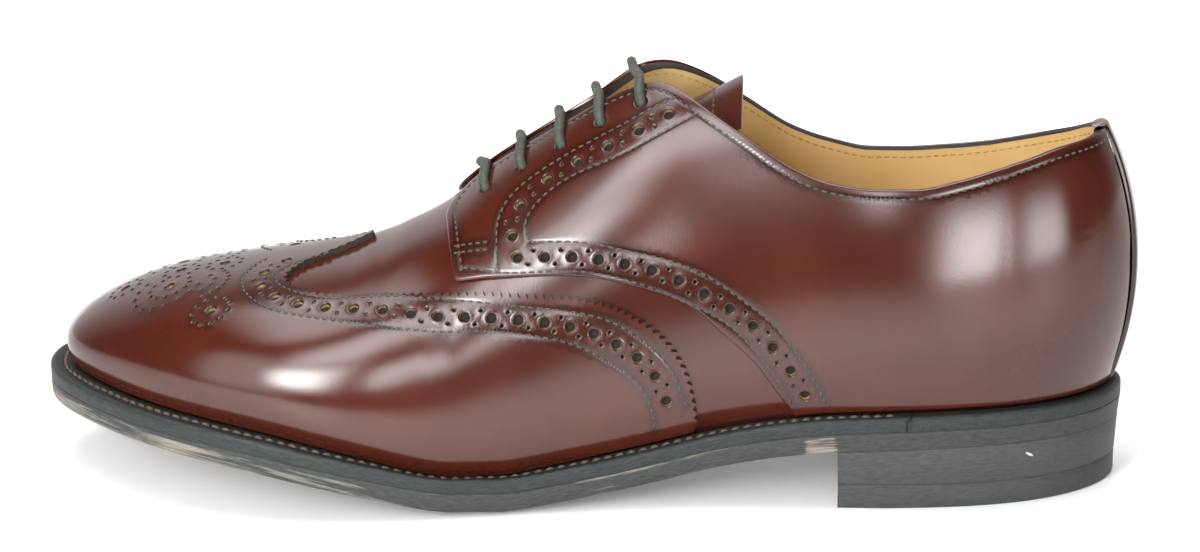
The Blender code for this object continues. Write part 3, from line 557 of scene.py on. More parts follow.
bump = add(tree, "Bump", {"Height": relief.outputs["Value"], "Strength": 0.14, "Distance": 0.0001})
finish_with(tree, shader, shade.outputs["Color"], rough.outputs["Result"], bump.outputs["Normal"])
shader.inputs["IOR"].default_value = 1.5
wax = add(tree, "Bump", {"Height": relief.outputs["Value"], "Strength": 0.045, "Distance": 0.0001})
tree.links.new(wax.outputs["Normal"], shader.inputs["Coat Normal"])
shader.inputs["Specular IOR Level"].default_value = 0.0
shader.inputs["Coat Weight"].default_value = 1.0
shader.inputs["Coat Roughness"].default_value = 0.16
shader.inputs["Coat IOR"].default_value = 1.6
piece("vamp", points, faces, [polished_calf], ["upper"], marks={"seam": vamp_crevice_shade})


# Wing cap: a second layer of the same calf over the toe, with a gimped edge, two rows of fine
# stitching, punched broguing between them and a punched medallion on the toe.
WING_TOP = 1.7
WING_FOOT = 1.4
GIMP_PITCH = 2.7
GIMP_DEPTH = 0.62
HOLE_SPACING = 8.5
BIG_HOLE = 1.45
SMALL_HOLE = 0.55
PAIR_HALF = 1.6
WING_EDGE = table("station share", [
    (118.6, 0.040), (120.5, 0.145), (124.4, 0.222), (134.6, 0.322), (148.0, 0.402), (163.0, 0.460),
    (180.6, 0.519), (199.4, 0.561), (215.0, 0.575), (222.0, 0.590), (228.0, 0.630), (231.5, 0.672),
    (233.0, 0.715), (231.4, 0.800), (227.0, 0.870), (220.5, 0.925), (211.0, 0.985)])
WING_UPPER_ROW = table("rib girth", [
    (121.3, 10.0), (124.4, 19.6), (132.2, 30.9), (147.9, 42.0), (173.6, 49.3), (199.4, 49.4), (216.0, 45.6),
    (224.4, 45.1), (231.4, 46.9), (235.3, 50.7), (235.3, 55.4), (231.8, 61.5), (222.0, 70.0)])
WING_LOWER_ROW = table("rib girth", [
    (129.9, 5.7), (131.5, 14.3), (134.6, 20.4), (142.4, 28.2), (152.5, 35.1), (173.6, 41.9), (199.4, 40.2),
    (213.4, 38.1), (225.1, 37.1), (233.7, 37.2), (241.5, 40.9), (244.7, 45.7), (245.4, 51.3), (243.1, 60.0),
    (240.5, 66.0)])
MEDALLION_AXIS = -2.6
MEDALLION_HOLES = table("a off both", [
    (282.5, 0.0, 0), (265.5, 0.0, 0), (253.0, 0.0, 0), (266.9, 10.7, 1), (252.0, 28.6, 1)])
MEDALLION_RINGS = table("a off radius count start end both", [
    (282.5, 0.0, 4.8, 10, 18, 342, 0), (265.5, 0.0, 4.9, 10, 18, 342, 0),
    (253.0, 0.0, 4.9, 10, 18, 342, 0), (266.9, 10.7, 5.8, 12, 0, 330, 1),
    (267.6, 11.4, 9.6, 10, -42, 168, 1), (259.0, 12.9, 5.3, 8, 118, 250, 1),
    (259.0, 12.9, 9.2, 9, 112, 236, 1), (252.0, 28.6, 5.2, 11, 0, 327, 1)])
BAND_FIRST = 5.0
BAND_LAST = 4.0
HOLES_APART = 0.7


def smooth_line(points, step):
    points = np.asarray(points, float)
    along = run_of(points)
    t = np.linspace(0, along[-1], max(3, int(along[-1] / step)))
    return np.stack([spline(along, points[:, k])(t) for k in range(points.shape[1])], axis=1)


# A row on one side of the shoe from its places on the lateral side: ribs and girth from the feather
def row_line(side, rows, step=0.8):
    share = rows["girth"] / girth("lateral", rows["rib"])
    return smooth_line(pattern(side, rows["rib"], share), step)


def sideways(line):
    tangent = np.gradient(line, axis=0)
    tangent /= np.linalg.norm(tangent, axis=1)[:, None]
    return np.c_[-tangent[:, 1], tangent[:, 0]]


def gimped(line):
    line = resample(line, GIMP_PITCH / 2)
    teeth = np.where(np.arange(len(line)) % 2 == 0, 1.0, -1.0)
    return line + sideways(line) * (teeth * GIMP_DEPTH)[:, None]


# Broguing along a band: large holes with a pair of small ones across the band between them
def brogue_holes(middle, first, last):
    run = run_of(middle)
    span = run[-1] - first - last
    count = int(round(span / HOLE_SPACING))
    holes = []
    for k in range(2 * count + 1):
        t = first + span * k / (2 * count)
        spot = np.array([np.interp(t, run, middle[:, 0]), np.interp(t, run, middle[:, 1])])
        across = sideways(middle)[np.searchsorted(run, t).clip(0, len(run) - 1)]
        if k % 2 == 0:
            holes.append((*spot, BIG_HOLE))
        else:
            holes.append((*(spot + across * PAIR_HALF), SMALL_HOLE))
            holes.append((*(spot - across * PAIR_HALF), SMALL_HOLE))
    return holes


def middle_line(one, other):
    count = 160
    ends = []
    for line in (one, other):
        run = run_of(line)
        t = np.linspace(0, run[-1], count)
        ends.append(np.stack([np.interp(t, run, line[:, k]) for k in range(2)], axis=1))
    return resample((ends[0] + ends[1]) / 2, 0.5)


def inside(points, loop):
    hit = np.zeros(len(points), bool)
    for p, q in zip(loop, np.roll(loop, -1, axis=0)):
        if p[1] != q[1]:
            crosses = (p[1] > points[:, 1]) != (q[1] > points[:, 1])
            hit ^= crosses & (points[:, 0] < (q[0] - p[0]) * (points[:, 1] - p[1]) / (q[1] - p[1]) + p[0])
    return hit


def away(points, line):
    best = np.full(len(points), 1e9)
    for p, q in zip(line[:-1], line[1:]):
        d = q - p
        t = np.clip(((points - p) @ d) / max(d @ d, 1e-12), 0, 1)
        best = np.minimum(best, np.hypot(*(points - p - t[:, None] * d).T))
    return best


# The stretch of the pattern at a place: turns a small step of the pattern into one on the shoe
def stretch_at(ab):
    ab = np.asarray(ab, float).reshape(-1, 2)
    step = 0.3
    along = (surface(ab + (step, 0)) - surface(ab - (step, 0))) / (2 * step)
    across = (surface(ab + (0, step)) - surface(ab - (0, step))) / (2 * step)
    length = np.linalg.norm(along, axis=1)
    lean = (along * across).sum(1) / length
    width = np.sqrt((across ** 2).sum(1) - lean ** 2)
    zero = np.zeros_like(lean)
    return np.stack([np.stack([length, lean], axis=-1), np.stack([zero, width], axis=-1)], axis=1)


GROOVE_DEPTH = 0.09
GROOVE_WIDTH = 0.5
SEAM_REACH = 1.3
SEAM_MARK = 0.8
RIM_HEIGHT = 0.065
RIM_PLACE = 0.28
RIM_WIDTH = 0.36
RIM_RINGS = (0.13, 0.3, 0.52, 0.85)
LIP_DIP = 0.2
LIP_WIDTH = 0.14
HOLE_REACH = 0.7
HOLE_MARK = 0.7
ROW_OFFSETS = (-0.85, -0.4, 0.0, 0.4, 0.85)
ROW_STEP = 1.2
ROW_FROM_EDGE = 0.4
ROW_FROM_HOLE = 0.95
FILL_STEP = 1.7
FILL_FROM_FOLD = 1.7
FILL_FROM_CUT = 0.8
FILL_FROM_ROW = 1.3
FILL_FROM_HOLE = 1.25
FOLD_RINGS = (0.12, 0.3, 0.55, 0.9, 1.3)
FOLD_SHADING = 0.15
RING_FROM_EDGE = 0.05
SHADING_STEP = 0.06


def hole_rings(radius):
    return (16, RIM_RINGS) if radius > 1 else (10, RIM_RINGS[:3])


# A panel cut from the pattern: an outline, punched holes, sunk stitch rows and a height above the last.
# Its cut edge and the walls and floors of its holes are faces of their own. A folded edge is set back
# at its foot by a distance under, and extra points are where the leather needs a finer mesh.
def panel(name, loop, holes, rows, lift, foot_lift, looks, nodes, deep=1.25, under=0.0, extra=()):
    holes = np.array(holes, float).reshape(-1, 3)
    stretch = stretch_at(holes[:, :2])
    turned = ((loop * np.roll(loop, -1, axis=0)[:, ::-1]) @ (1, -1)).sum() > 0
    inward = sideways(np.vstack([loop[-1:], loop, loop[:1]]))[1:-1] * (1 if turned else -1)

    def relief(ab):
        height = lift(ab)
        mark = np.zeros(len(ab))
        for line in rows:
            near = away(ab, line[::2])
            height = height - GROOVE_DEPTH * np.exp(-(near / GROOVE_WIDTH) ** 2)
            mark = np.maximum(mark, SEAM_MARK * np.exp(-(near / SEAM_REACH) ** 2))
        for (a, b, radius), turn in zip(holes, stretch):
            close = np.flatnonzero(np.abs(ab - (a, b)).max(axis=1) < radius + 3)
            gap = np.linalg.norm((ab[close] - (a, b)) @ turn.T, axis=1) - radius
            scale = min(1.0, radius / BIG_HOLE + 0.2)
            rim = np.exp(-((gap - RIM_PLACE * scale) / (RIM_WIDTH * scale)) ** 2)
            height[close] += scale * RIM_HEIGHT * rim
            height[close] -= scale * LIP_DIP * np.exp(-(gap / LIP_WIDTH) ** 2)
            darker = HOLE_MARK * np.exp(-(np.maximum(gap, 0) / HOLE_REACH) ** 2)
            mark[close] = np.maximum(mark[close], darker)
        return height, mark

    ab = [loop]
    edges = [(i, (i + 1) % len(loop)) for i in range(len(loop))]
    owner = [np.full(len(loop), -1)]
    count = len(loop)
    for k, ((a, b, radius), turn) in enumerate(zip(holes, stretch)):
        sides, rings = hole_rings(radius)
        angle = np.linspace(0, 2 * math.pi, sides, endpoint=False)
        circle = np.c_[np.cos(angle), np.sin(angle)] @ np.linalg.inv(turn).T
        ab.append((a, b) + circle * radius)
        owner.append(np.full(sides, k))
        edges += [(count + i, count + (i + 1) % sides) for i in range(sides)]
        count += sides
        for gap in rings:
            ab.append((a, b) + circle * (radius + gap))
            owner.append(np.full(sides, -1))
            count += sides
    clear = []
    for line in rows:
        for offset in ROW_OFFSETS:
            clear.append(resample(line + sideways(line) * offset, ROW_STEP))
    closed = np.vstack([loop, loop[:1]])
    if under:
        for inset in FOLD_RINGS:
            ring = loop + inward * inset
            ring = ring[away(ring, closed) > 0.9 * inset]
            clear.append(np.c_[ring, np.full(len(ring), -1)])
    if len(extra):
        clear.append(np.asarray(extra, float))
    low, high = loop.min(axis=0), loop.max(axis=0)
    tall = FILL_STEP * 0.87
    for j, b in enumerate(np.arange(low[1] + 0.5, high[1], tall)):
        a = np.arange(low[0] + 0.5 + (j % 2) * FILL_STEP / 2, high[0], FILL_STEP)
        clear.append(np.c_[a, np.full(len(a), b), np.ones(len(a))])
    grown = np.vstack([np.c_[c, np.zeros(len(c))] if c.shape[1] == 2 else c for c in clear])
    fill = grown[:, 2] > 0
    least = np.where(fill, FILL_FROM_FOLD if under else FILL_FROM_CUT, ROW_FROM_EDGE)
    least = np.where(grown[:, 2] < 0, RING_FROM_EDGE, least)
    grown = grown[:, :2]
    keep = inside(grown, loop) & (away(grown, closed) > least)
    for line in rows:
        keep &= ~fill | (away(grown, line[::2]) > FILL_FROM_ROW)
    for (a, b, radius), turn in zip(holes, stretch):
        close = np.flatnonzero(np.abs(grown - (a, b)).max(axis=1) < radius + 4)
        gap = np.linalg.norm((grown[close] - (a, b)) @ turn.T, axis=1) - radius
        keep[close] &= gap > np.where(fill[close], FILL_FROM_HOLE, ROW_FROM_HOLE)
    ab.append(grown[keep])
    owner.append(np.full(keep.sum(), -1))
    ab = np.vstack(ab)
    owner = np.concatenate(owner)
    made, _, faces, origin, _, _ = delaunay_2d_cdt([Vector(p) for p in ab], edges, [], 1, 1e-4, True)
    ab = np.array([tuple(p) for p in made])
    first = np.array([o[0] if o else -1 for o in origin])
    mine = np.where(first >= 0, owner[first], -1)
    into = {int(o): i for i, group in enumerate(origin) for o in group}
    faces = np.array([f for f in faces if len(f) == 3])
    punched = (mine[faces] == mine[faces[:, :1]]).all(axis=1) & (mine[faces[:, 0]] >= 0)
    cut = inside(ab[faces].mean(axis=1), loop)
    faces = faces[cut & ~punched][:, ::-1]
    height, mark = relief(ab)
    points, _ = skin(ab, height)
    rim = np.array([into[i] for i in range(len(loop))])
    spots = ab.copy()
    spots[rim] += inward * (FOLD_SHADING if under else 0.0)
    slopes = []
    for step in ((SHADING_STEP, 0), (0, SHADING_STEP)):
        ahead, behind = spots + step, spots - np.array(step)
        slopes.append(skin(ahead, relief(ahead)[0])[0] - skin(behind, relief(behind)[0])[0])
    facing = np.cross(*slopes)
    facing /= np.linalg.norm(facing, axis=1)[:, None]
    all_points = [points]
    all_faces = [tuple(f) for f in faces]
    look_index = [0] * len(faces)
    marks = [mark]
    count = len(points)

    def wall(edge, levels, look, closed_floor):
        nonlocal count
        size = len(edge)
        base = count
        for k, (level, shift) in enumerate(levels):
            all_points.append(skin(edge + shift, level)[0])
            marks.append(np.full(size, k / (len(levels) - 1)))
            count += size
        for k in range(len(levels) - 1):
            for i in range(size):
                p = base + k * size + i
                q = base + k * size + (i + 1) % size
                all_faces.append((p, q, q + size, p + size))
                look_index.append(look)
        if closed_floor:
            all_faces.append(tuple(base + (len(levels) - 1) * size + i for i in range(size)))
            look_index.append(look + 1)

    order = np.arange(len(loop))
    order = order if turned else order[::-1]
    edge, top, back = loop[order], height[rim[order]], inward[order] * under
    foot = foot_lift * np.ones(len(loop))
    wall(edge, ((top, 0.0), (top + (foot - top) * 0.4, back * 0.15), (foot, back)), 0 if under else 1, False)
    start = len(loop)
    for a, b, radius in holes:
        sides, rings = hole_rings(radius)
        ids = np.array([into[start + i] for i in range(sides)])[::-1]
        level = height[ids]
        # Each hole's floor is a disc of painted shade
        wall(ab[ids], ((level, 0.0), (level - deep * 0.5, 0.0), (level - deep, 0.0)), 2, True)
        start += sides * (1 + len(rings))
    facing = np.vstack([facing, np.zeros((count - len(points), 3))])
    return piece(name, np.vstack(all_points), all_faces, looks, nodes, look_index,
                 {"seam": np.concatenate(marks)}, facing, () if under else (1,))


# Cut edge of dyed calf: dark, dull and a little fibrous
CUT_FIBRE = 0.6
cut_edge = grained_look("cut_calf_edge", CUT_FIBRE, 3.0, [(0.0, "1a120d"), (1.0, "43372b")],
                        (0.6, 0.85), 0.4)

# Raw calf in the punched holes: the dye reaches a little way in, then dry tan fibre shows
raw_calf, tree, shader, place = new_look("raw_punched_calf")
fibre = add(tree, "TexNoise", {"Vector": place, "Scale": 1000 / CUT_FIBRE, "Detail": 2.0})
deep = add(tree, "Attribute", attribute_name="seam")
uneven = add(tree, "MapRange", {"Value": fibre.outputs["Fac"], "To Min": -0.2, "To Max": 0.2})
reach = add(tree, "Math", {0: deep.outputs["Fac"], 1: uneven.outputs["Result"]}, operation="ADD")
tint = add(tree, "ValToRGB", {"Fac": reach.outputs["Value"]}, [(0.15, "351a10"), (0.55, "947a4e")])
rough = add(tree, "MapRange", {"Value": fibre.outputs["Fac"], "To Min": 0.7, "To Max": 0.9})
bump = add(tree, "Bump", {"Height": fibre.outputs["Fac"], "Strength": 0.3, "Distance": 0.0001})
finish_with(tree, shader, tint.outputs["Color"], rough.outputs["Result"], bump.outputs["Normal"])

# Painted shade on the floors of the punched holes and in the needle pricks: dark and matt, so the holes read
# as deep
hole_shade = grained_look("painted_hole_shade", CUT_FIBRE, 2.0, [(0.0, "0f0b08"), (1.0, "2b2217")],
                       (0.8, 0.95), 0.3)
calf_looks = [polished_calf, cut_edge, raw_calf, hole_shade]

# Waxed linen thread: taupe-brown, finely twisted, with a dull shine
THREAD_TWIST = 0.35
linen_thread = grained_look("waxed_linen_thread", THREAD_TWIST, 2.0, [(0.0, "34281f"), (1.0, "5f5142")],
                            (0.45, 0.7), 0.3)


STITCH_SIDES = 6
STITCH_SHAPE = table("along thick arch", [
    (-0.5, 0.55, -0.75), (-0.25, 0.95, 0.15), (0.0, 1.0, 0.4), (0.25, 0.95, 0.15), (0.5, 0.55, -0.75)])
PRICK_SIZE = 1.15
PRICK_RISE = 0.75


# Stitches along lines on the shoe: short bent lengths of thread, each dipping into the leather at its ends
def stitches(name, lines, pitch, radius, look, cover=0.8):
    ring = np.linspace(0, 2 * math.pi, STITCH_SIDES, endpoint=False)
    spread, thick, arch = STITCH_SHAPE.values()
    all_points = []
    holes = []
    for places, normals in lines:
        run = run_of(places)
        count = max(1, int(round(run[-1] / pitch)))
        middle = (np.arange(count) + 0.5) * run[-1] / count
        t = middle[:, None] + spread[None, :] * cover * run[-1] / count
        spot = np.stack([np.interp(t, run, places[:, k]) for k in range(3)], axis=-1)
        up = np.stack([np.interp(t, run, normals[:, k]) for k in range(3)], axis=-1)
        ahead = np.gradient(spot, axis=1)
        side = np.cross(ahead, up)
        side /= np.linalg.norm(side, axis=2)[..., None]
        up /= np.linalg.norm(up, axis=2)[..., None]
        spot = spot + up * (arch * radius)[None, :, None]
        around = side[:, :, None, :] * np.cos(ring)[None, None, :, None]
        around = around + up[:, :, None, :] * np.sin(ring)[None, None, :, None]
        around = around * (thick * radius)[None, :, None, None]
        all_points.append((spot[:, :, None, :] + around).reshape(-1, 3))
        flat = side[:, :1, :] * np.cos(ring)[None, :, None]
        flat = flat + np.cross(up, side)[:, :1, :] * np.sin(ring)[None, :, None]
        prick = spot[:, :1, :] - ahead[:, :1, :] * (1 - cover) / cover * 2
        prick = prick + up[:, :1, :] * radius * PRICK_RISE
        holes += list(prick + flat * radius * PRICK_SIZE)
    points = np.vstack(all_points)
    size = STITCH_SIDES * len(spread)
    starts = np.arange(0, len(points), size)
    one = []
    for k in range(len(spread) - 1):
        for i in range(STITCH_SIDES):
            p, q = k * STITCH_SIDES + i, k * STITCH_SIDES + (i + 1) % STITCH_SIDES
            one.append((p, q, q + STITCH_SIDES, p + STITCH_SIDES))
    tubes = (starts[:, None, None] + np.array(one)[None]).reshape(-1, 4)
    end = np.arange(STITCH_SIDES)
    caps = [tuple(n + end[::-1]) for n in starts]
    caps += [tuple(n + size - STITCH_SIDES + end) for n in starts]
    # Each needle prick is a dark disc of painted shade
    prick_shade_discs = [tuple(len(points) + n * STITCH_SIDES + end) for n in range(len(holes))]
    faces = [tuple(f) for f in tubes] + caps + prick_shade_discs
    look_index = [0] * (len(tubes) + len(caps)) + [1] * len(prick_shade_discs)
    return piece(name, np.vstack([points] + holes), faces, [look, hole_shade], look_index=look_index)


STITCH_PITCH = 2.35
STITCH_RADIUS = 0.3
STITCH_SINK = 0.12


def seam_lines(lines, lift):
    return [skin(line, lift(line) - STITCH_SINK) for line in lines]


def wing_lift(ab):
    return WING_TOP * np.ones(len(ab))


wing_loop = []
for side in SIDES:
    edge = smooth_line(pattern(side, WING_EDGE["station"], WING_EDGE["share"]), 0.7)
    wing_loop.append(gimped(edge) if side == "lateral" else gimped(edge)[::-1])
toe_ribs = np.r_[np.arange(119.5, TOE_AXIS, 1.3), np.linspace(TOE_AXIS, RIB_LAST, 44)]
for side in ("medial", "lateral"):
    low = pattern(side, toe_ribs, WING_FOOT / girth(side, toe_ribs))
    wing_loop.append(low if side == "medial" else low[::-1][1:])
wing_loop = np.vstack(wing_loop)
wing_rows = []
wing_holes = []
for side in SIDES:
    upper_row = row_line(side, WING_UPPER_ROW)
    lower_row = row_line(side, WING_LOWER_ROW)
    wing_rows += [upper_row, lower_row]
    wing_holes += brogue_holes(middle_line(upper_row, lower_row), BAND_FIRST, BAND_LAST)
for a, off, both in zip(*MEDALLION_HOLES.values()):
    for way in ((-1, 1) if both else (-1,)):
        wing_holes.append((a, MEDALLION_AXIS + way * off, BIG_HOLE))
for a, off, radius, number, start, end, both in zip(*MEDALLION_RINGS.values()):
    for way in ((-1, 1) if both else (-1,)):
        for angle in np.radians(np.linspace(start, end, int(number))):
            spot = (a + radius * math.cos(angle), MEDALLION_AXIS + way * (off + radius * math.sin(angle)))
            if all(math.dist(spot, h[:2]) > SMALL_HOLE + h[2] + HOLES_APART for h in wing_holes):
                wing_holes.append((*spot, SMALL_HOLE))
panel("wing_cap_calf", wing_loop, wing_holes, wing_rows, wing_lift, 0.0, calf_looks,
      ["wing_cap"])
stitches("wing_cap_stitching", seam_lines(wing_rows, wing_lift), STITCH_PITCH, STITCH_RADIUS, linen_thread)


# Quarters: the two sides of the shoe from the heel to the facings, laid over the vamp. Their edges are
# turned in and stitched, the facings are punched for the lace, and a brogued band follows their edge.
QUARTER_TOP = 1.9
QUARTER_FOOT = 1.4
FOLD_RADIUS = 0.6
FOLD_UNDER = 0.7
EYELET_RADIUS = 1.75
EDGE_ROW_INSET = 2.5
STRIP_HALF_WIDTH = 4.9
QUARTER_EDGE = table("station share", [
    (92.0, 0.018), (94.9, 0.055), (101.4, 0.145), (112.4, 0.252), (117.6, 0.303), (136.6, 0.405),
    (152.0, 0.472), (173.6, 0.540), (182.4, 0.560)])
FACING_FRONT = table("station share", [
    (185.6, 0.905), (187.0, 0.870), (187.6, 0.829), (186.3, 0.729), (185.1, 0.644), (184.2, 0.585),
    (183.9, 0.566)])
LACING = table("station lateral medial", [
    (177.5, 0.838, 0.838), (167.4, 0.836, 0.832), (156.4, 0.829, 0.830), (145.5, 0.818, 0.836),
    (134.6, 0.820, 0.862)])
NEAR_BACK = 1.2
NEAR_DOWN = np.array([0.0085, 0.0065, 0.0065, -0.0045, -0.002])
FAR_AHEAD = np.array([1.4, 0.5, 0.6, 1.2, 2.0])
BAND_LOWER_ROW = table("rib girth", [
    (181.8, 59.4), (170.0, 57.4), (154.1, 54.9), (136.9, 48.8), (122.1, 39.7), (108.0, 28.7), (101.0, 19.7),
    (95.5, 11.5), (92.4, 4.8)])
BAND_UPPER_ROW = table("rib girth", [
    (163.5, 64.6), (147.9, 61.1), (134.6, 55.6), (118.2, 46.8), (106.0, 36.5), (96.3, 26.9), (91.6, 20.2),
    (87.0, 13.0), (83.1, 3.9)])
FACING_OUTER_ROW = table("rib girth", [
    (172.1, 58.4), (172.3, 65.0), (172.1, 71.6), (169.9, 77.8), (161.1, 84.5), (140.0, 91.0), (123.7, 95.5)])
FACING_INNER_ROW = table("rib girth", [
    (163.5, 64.6), (164.4, 68.0), (164.0, 71.6), (161.1, 75.4), (140.0, 82.6), (119.0, 88.9)])
HEEL_WRINKLES = table("rib share length width depth", [
    (15.5, 0.527, 2.4, 1.0, 0.022), (13.4, 0.497, 1.9, 1.0, 0.02), (14.6, 0.463, 2.6, 1.1, 0.026),
    (13.0, 0.436, 2.0, 1.0, 0.018)])
WRINKLE_STEP = 0.45
WRINKLE_MARGIN = 3.0
EDGE_STEP = 0.8
TOP_END = 182.5
FOOT_FROM = 91.5
FOOT_STEP = 1.3
FOLD_BEFORE_FRONT = 13.0
EDGE_ROW_PAST_FRONT = 26.0
BAND_FROM = 171.0
FACING_HOLES_ABOVE = 5.0
QUARTER_HOLES_APART = 0.6
QUARTER_HOLE_DEPTH = 1.5
QUARTER_SINK = 0.1
TACK_ROWS = (64.0, 66.2)
TACK_FROM = 184.4
TACK_TO = 174.5
quarter_edge = steady(QUARTER_EDGE["station"], QUARTER_EDGE["share"])
quarter_first = RIB_FIRST + STRIP_HALF_WIDTH + GAP


def rounded(line, times):
    for _ in range(times):
        middle = 0.25 * line[:-2] + 0.5 * line[1:-1] + 0.25 * line[2:]
        line = np.vstack([line[:1], middle, line[-1:]])
    return line


# The near facing sits a little further back than the far one, so the bars lean towards the toe
def eyelet_place(side):
    if side == "lateral":
        return LACING["station"] - NEAR_BACK, LACING[side] - NEAR_DOWN
    return LACING["station"] + FAR_AHEAD, LACING[side]


rim_lines = {}
quarter_seams = {}
for side in SIDES:
    top_ribs = np.arange(quarter_first, TOP_END, EDGE_STEP)
    top = pattern(side, top_ribs, top_line[side](top_ribs))
    front = pattern(side, FACING_FRONT["station"], FACING_FRONT["share"])
    low_ribs = np.arange(QUARTER_EDGE["station"][-1], QUARTER_EDGE["station"][0], -EDGE_STEP)
    low = pattern(side, low_ribs, quarter_edge(low_ribs))
    free = rounded(resample(np.vstack([top, front, low]), EDGE_STEP), 3)
    foot_ribs = np.arange(FOOT_FROM, quarter_first, -FOOT_STEP)
    foot = pattern(side, foot_ribs, QUARTER_FOOT / girth(side, foot_ribs))
    loop = np.vstack([free, foot])
    turn = run_of(free)[np.argmax(free[:, 0])]
    rim_lines[side] = free[run_of(free) <= turn - FOLD_BEFORE_FRONT]

    def quarter_lift(ab, side=side, folded=free[::2]):
        near = np.clip(away(ab, folded) / FOLD_RADIUS, 0, 1)
        lift = QUARTER_TOP - FOLD_RADIUS * (1 - np.sqrt(np.clip(1 - (1 - near) ** 2, 0, 1)))
        if side == "lateral":
            for rib, share, length, width, depth in zip(*HEEL_WRINKLES.values()):
                off = ab - pattern(side, rib, share)
                lift -= depth * np.exp(-(off[:, 0] / length) ** 2 - (off[:, 1] / width) ** 2)
        return lift

    way = 1 if side == "medial" else -1
    lower = row_line(side, BAND_LOWER_ROW)
    upper = row_line(side, BAND_UPPER_ROW)
    outer = row_line(side, FACING_OUTER_ROW)
    inner = row_line(side, FACING_INNER_ROW)
    edge_row = rounded(resample(free[run_of(free) < turn + EDGE_ROW_PAST_FRONT], 1.0), 12)
    edge_row = resample(edge_row + sideways(edge_row) * way * EDGE_ROW_INSET, EDGE_STEP)
    tack_ribs = np.linspace(TACK_FROM, TACK_TO, 3)
    tacks = [row_line(side, {"rib": tack_ribs, "girth": np.full(3, height)}) for height in TACK_ROWS]
    rows = [edge_row, lower, upper, outer, inner] + tacks
    facing = outer[np.abs(outer[:, 1]) < np.abs(outer[0, 1]) - FACING_HOLES_ABOVE]
    holes = brogue_holes(middle_line(lower[lower[:, 0] < BAND_FROM], upper), 0.3, 3.0)
    holes += brogue_holes(middle_line(facing, inner), 3.0, 5.0)
    apart = []
    for hole in holes:
        if all(math.dist(hole[:2], h[:2]) > hole[2] + h[2] + QUARTER_HOLES_APART for h in apart):
            apart.append(hole)
    eyelets = pattern(side, *eyelet_place(side))
    apart += [(a, b, EYELET_RADIUS) for a, b in eyelets]
    finer = []
    if side == "lateral":
        spots = pattern(side, HEEL_WRINKLES["rib"], HEEL_WRINKLES["share"])
        low, high = spots.min(axis=0) - WRINKLE_MARGIN, spots.max(axis=0) + WRINKLE_MARGIN
        a, b = np.meshgrid(*[np.arange(low[k], high[k], WRINKLE_STEP) for k in range(2)])
        finer = np.c_[a.ravel(), b.ravel()]
    panel("quarter_%s_calf" % side, loop, apart, rows, quarter_lift, QUARTER_SINK, calf_looks,
          ["quarter_" + side], QUARTER_HOLE_DEPTH, FOLD_UNDER, finer)
    quarter_seams[side] = seam_lines(rows, quarter_lift)
stitches("quarter_stitching", quarter_seams["lateral"] + quarter_seams["medial"], STITCH_PITCH, STITCH_RADIUS,
         linen_thread)


# Top edge: the quarters are folded over the lining at the top line, and the fold is inked dark.
# A seam holds the lining close below it.
RIM_PROFILE = table("lift rise ink", [
    (0.65, -0.05, 0.0), (0.45, 0.1, 0.25), (0.1, 0.18, 0.6), (-0.5, 0.2, 0.8), (-1.1, 0.16, 0.8),
    (-1.6, 0.06, 0.8), (-1.82, -0.15, 0.8)])
LINING_SEAM = 2.2
LINING_THREAD = 0.225
rim_points = []
rim_faces = []
rim_ink = []
lining_seams = []
count = 0
for side in SIDES:
    line = rim_lines[side]
    way = 1 if side == "lateral" else -1
    for lift, rise, ink in zip(*RIM_PROFILE.values()):
        rim_points.append(skin(line + (0, way * rise), lift)[0])
        rim_ink.append(np.full(len(line), ink))
    levels = len(RIM_PROFILE["lift"])
    rim_faces.append(count + grid_faces(levels, len(line), side == "medial"))
    count += levels * len(line)
    places, normals = skin(line - (0, way * LINING_SEAM), -WALL)
    lining_seams.append((places, -normals))

# Edge ink over folded calf: brown leather outside, near black over the top
EDGE_INK_GRAIN = 0.8
inked_fold, tree, shader, place = new_look("inked_calf_fold")
ink = add(tree, "Attribute", attribute_name="ink")
tint = add(tree, "ValToRGB", {"Fac": ink.outputs["Fac"]}, [(0.25, "37120c"), (0.6, "231a17")])
grain = add(tree, "TexNoise", {"Vector": place, "Scale": 1000 / EDGE_INK_GRAIN, "Detail": 3.0})
rough = add(tree, "MapRange", {"Value": grain.outputs["Fac"], "To Min": 0.5, "To Max": 0.65})
bump = add(tree, "Bump", {"Height": grain.outputs["Fac"], "Strength": 0.25, "Distance": 0.0001})
finish_with(tree, shader, tint.outputs["Color"], rough.outputs["Result"], bump.outputs["Normal"])
shader.inputs["Specular IOR Level"].default_value = 0.25
piece("top_edge_fold", np.vstack(rim_points), np.vstack(rim_faces), [inked_fold],
      marks={"ink": np.concatenate(rim_ink)})

# Fine tan thread in the lining, a shade darker than the leather
tan_thread = grained_look("tan_lining_thread", THREAD_TWIST, 2.0, [(0.0, "967342"), (1.0, "c29d60")],
                          (0.5, 0.75), 0.3)
stitches("lining_stitching", lining_seams, STITCH_PITCH, LINING_THREAD, tan_thread)


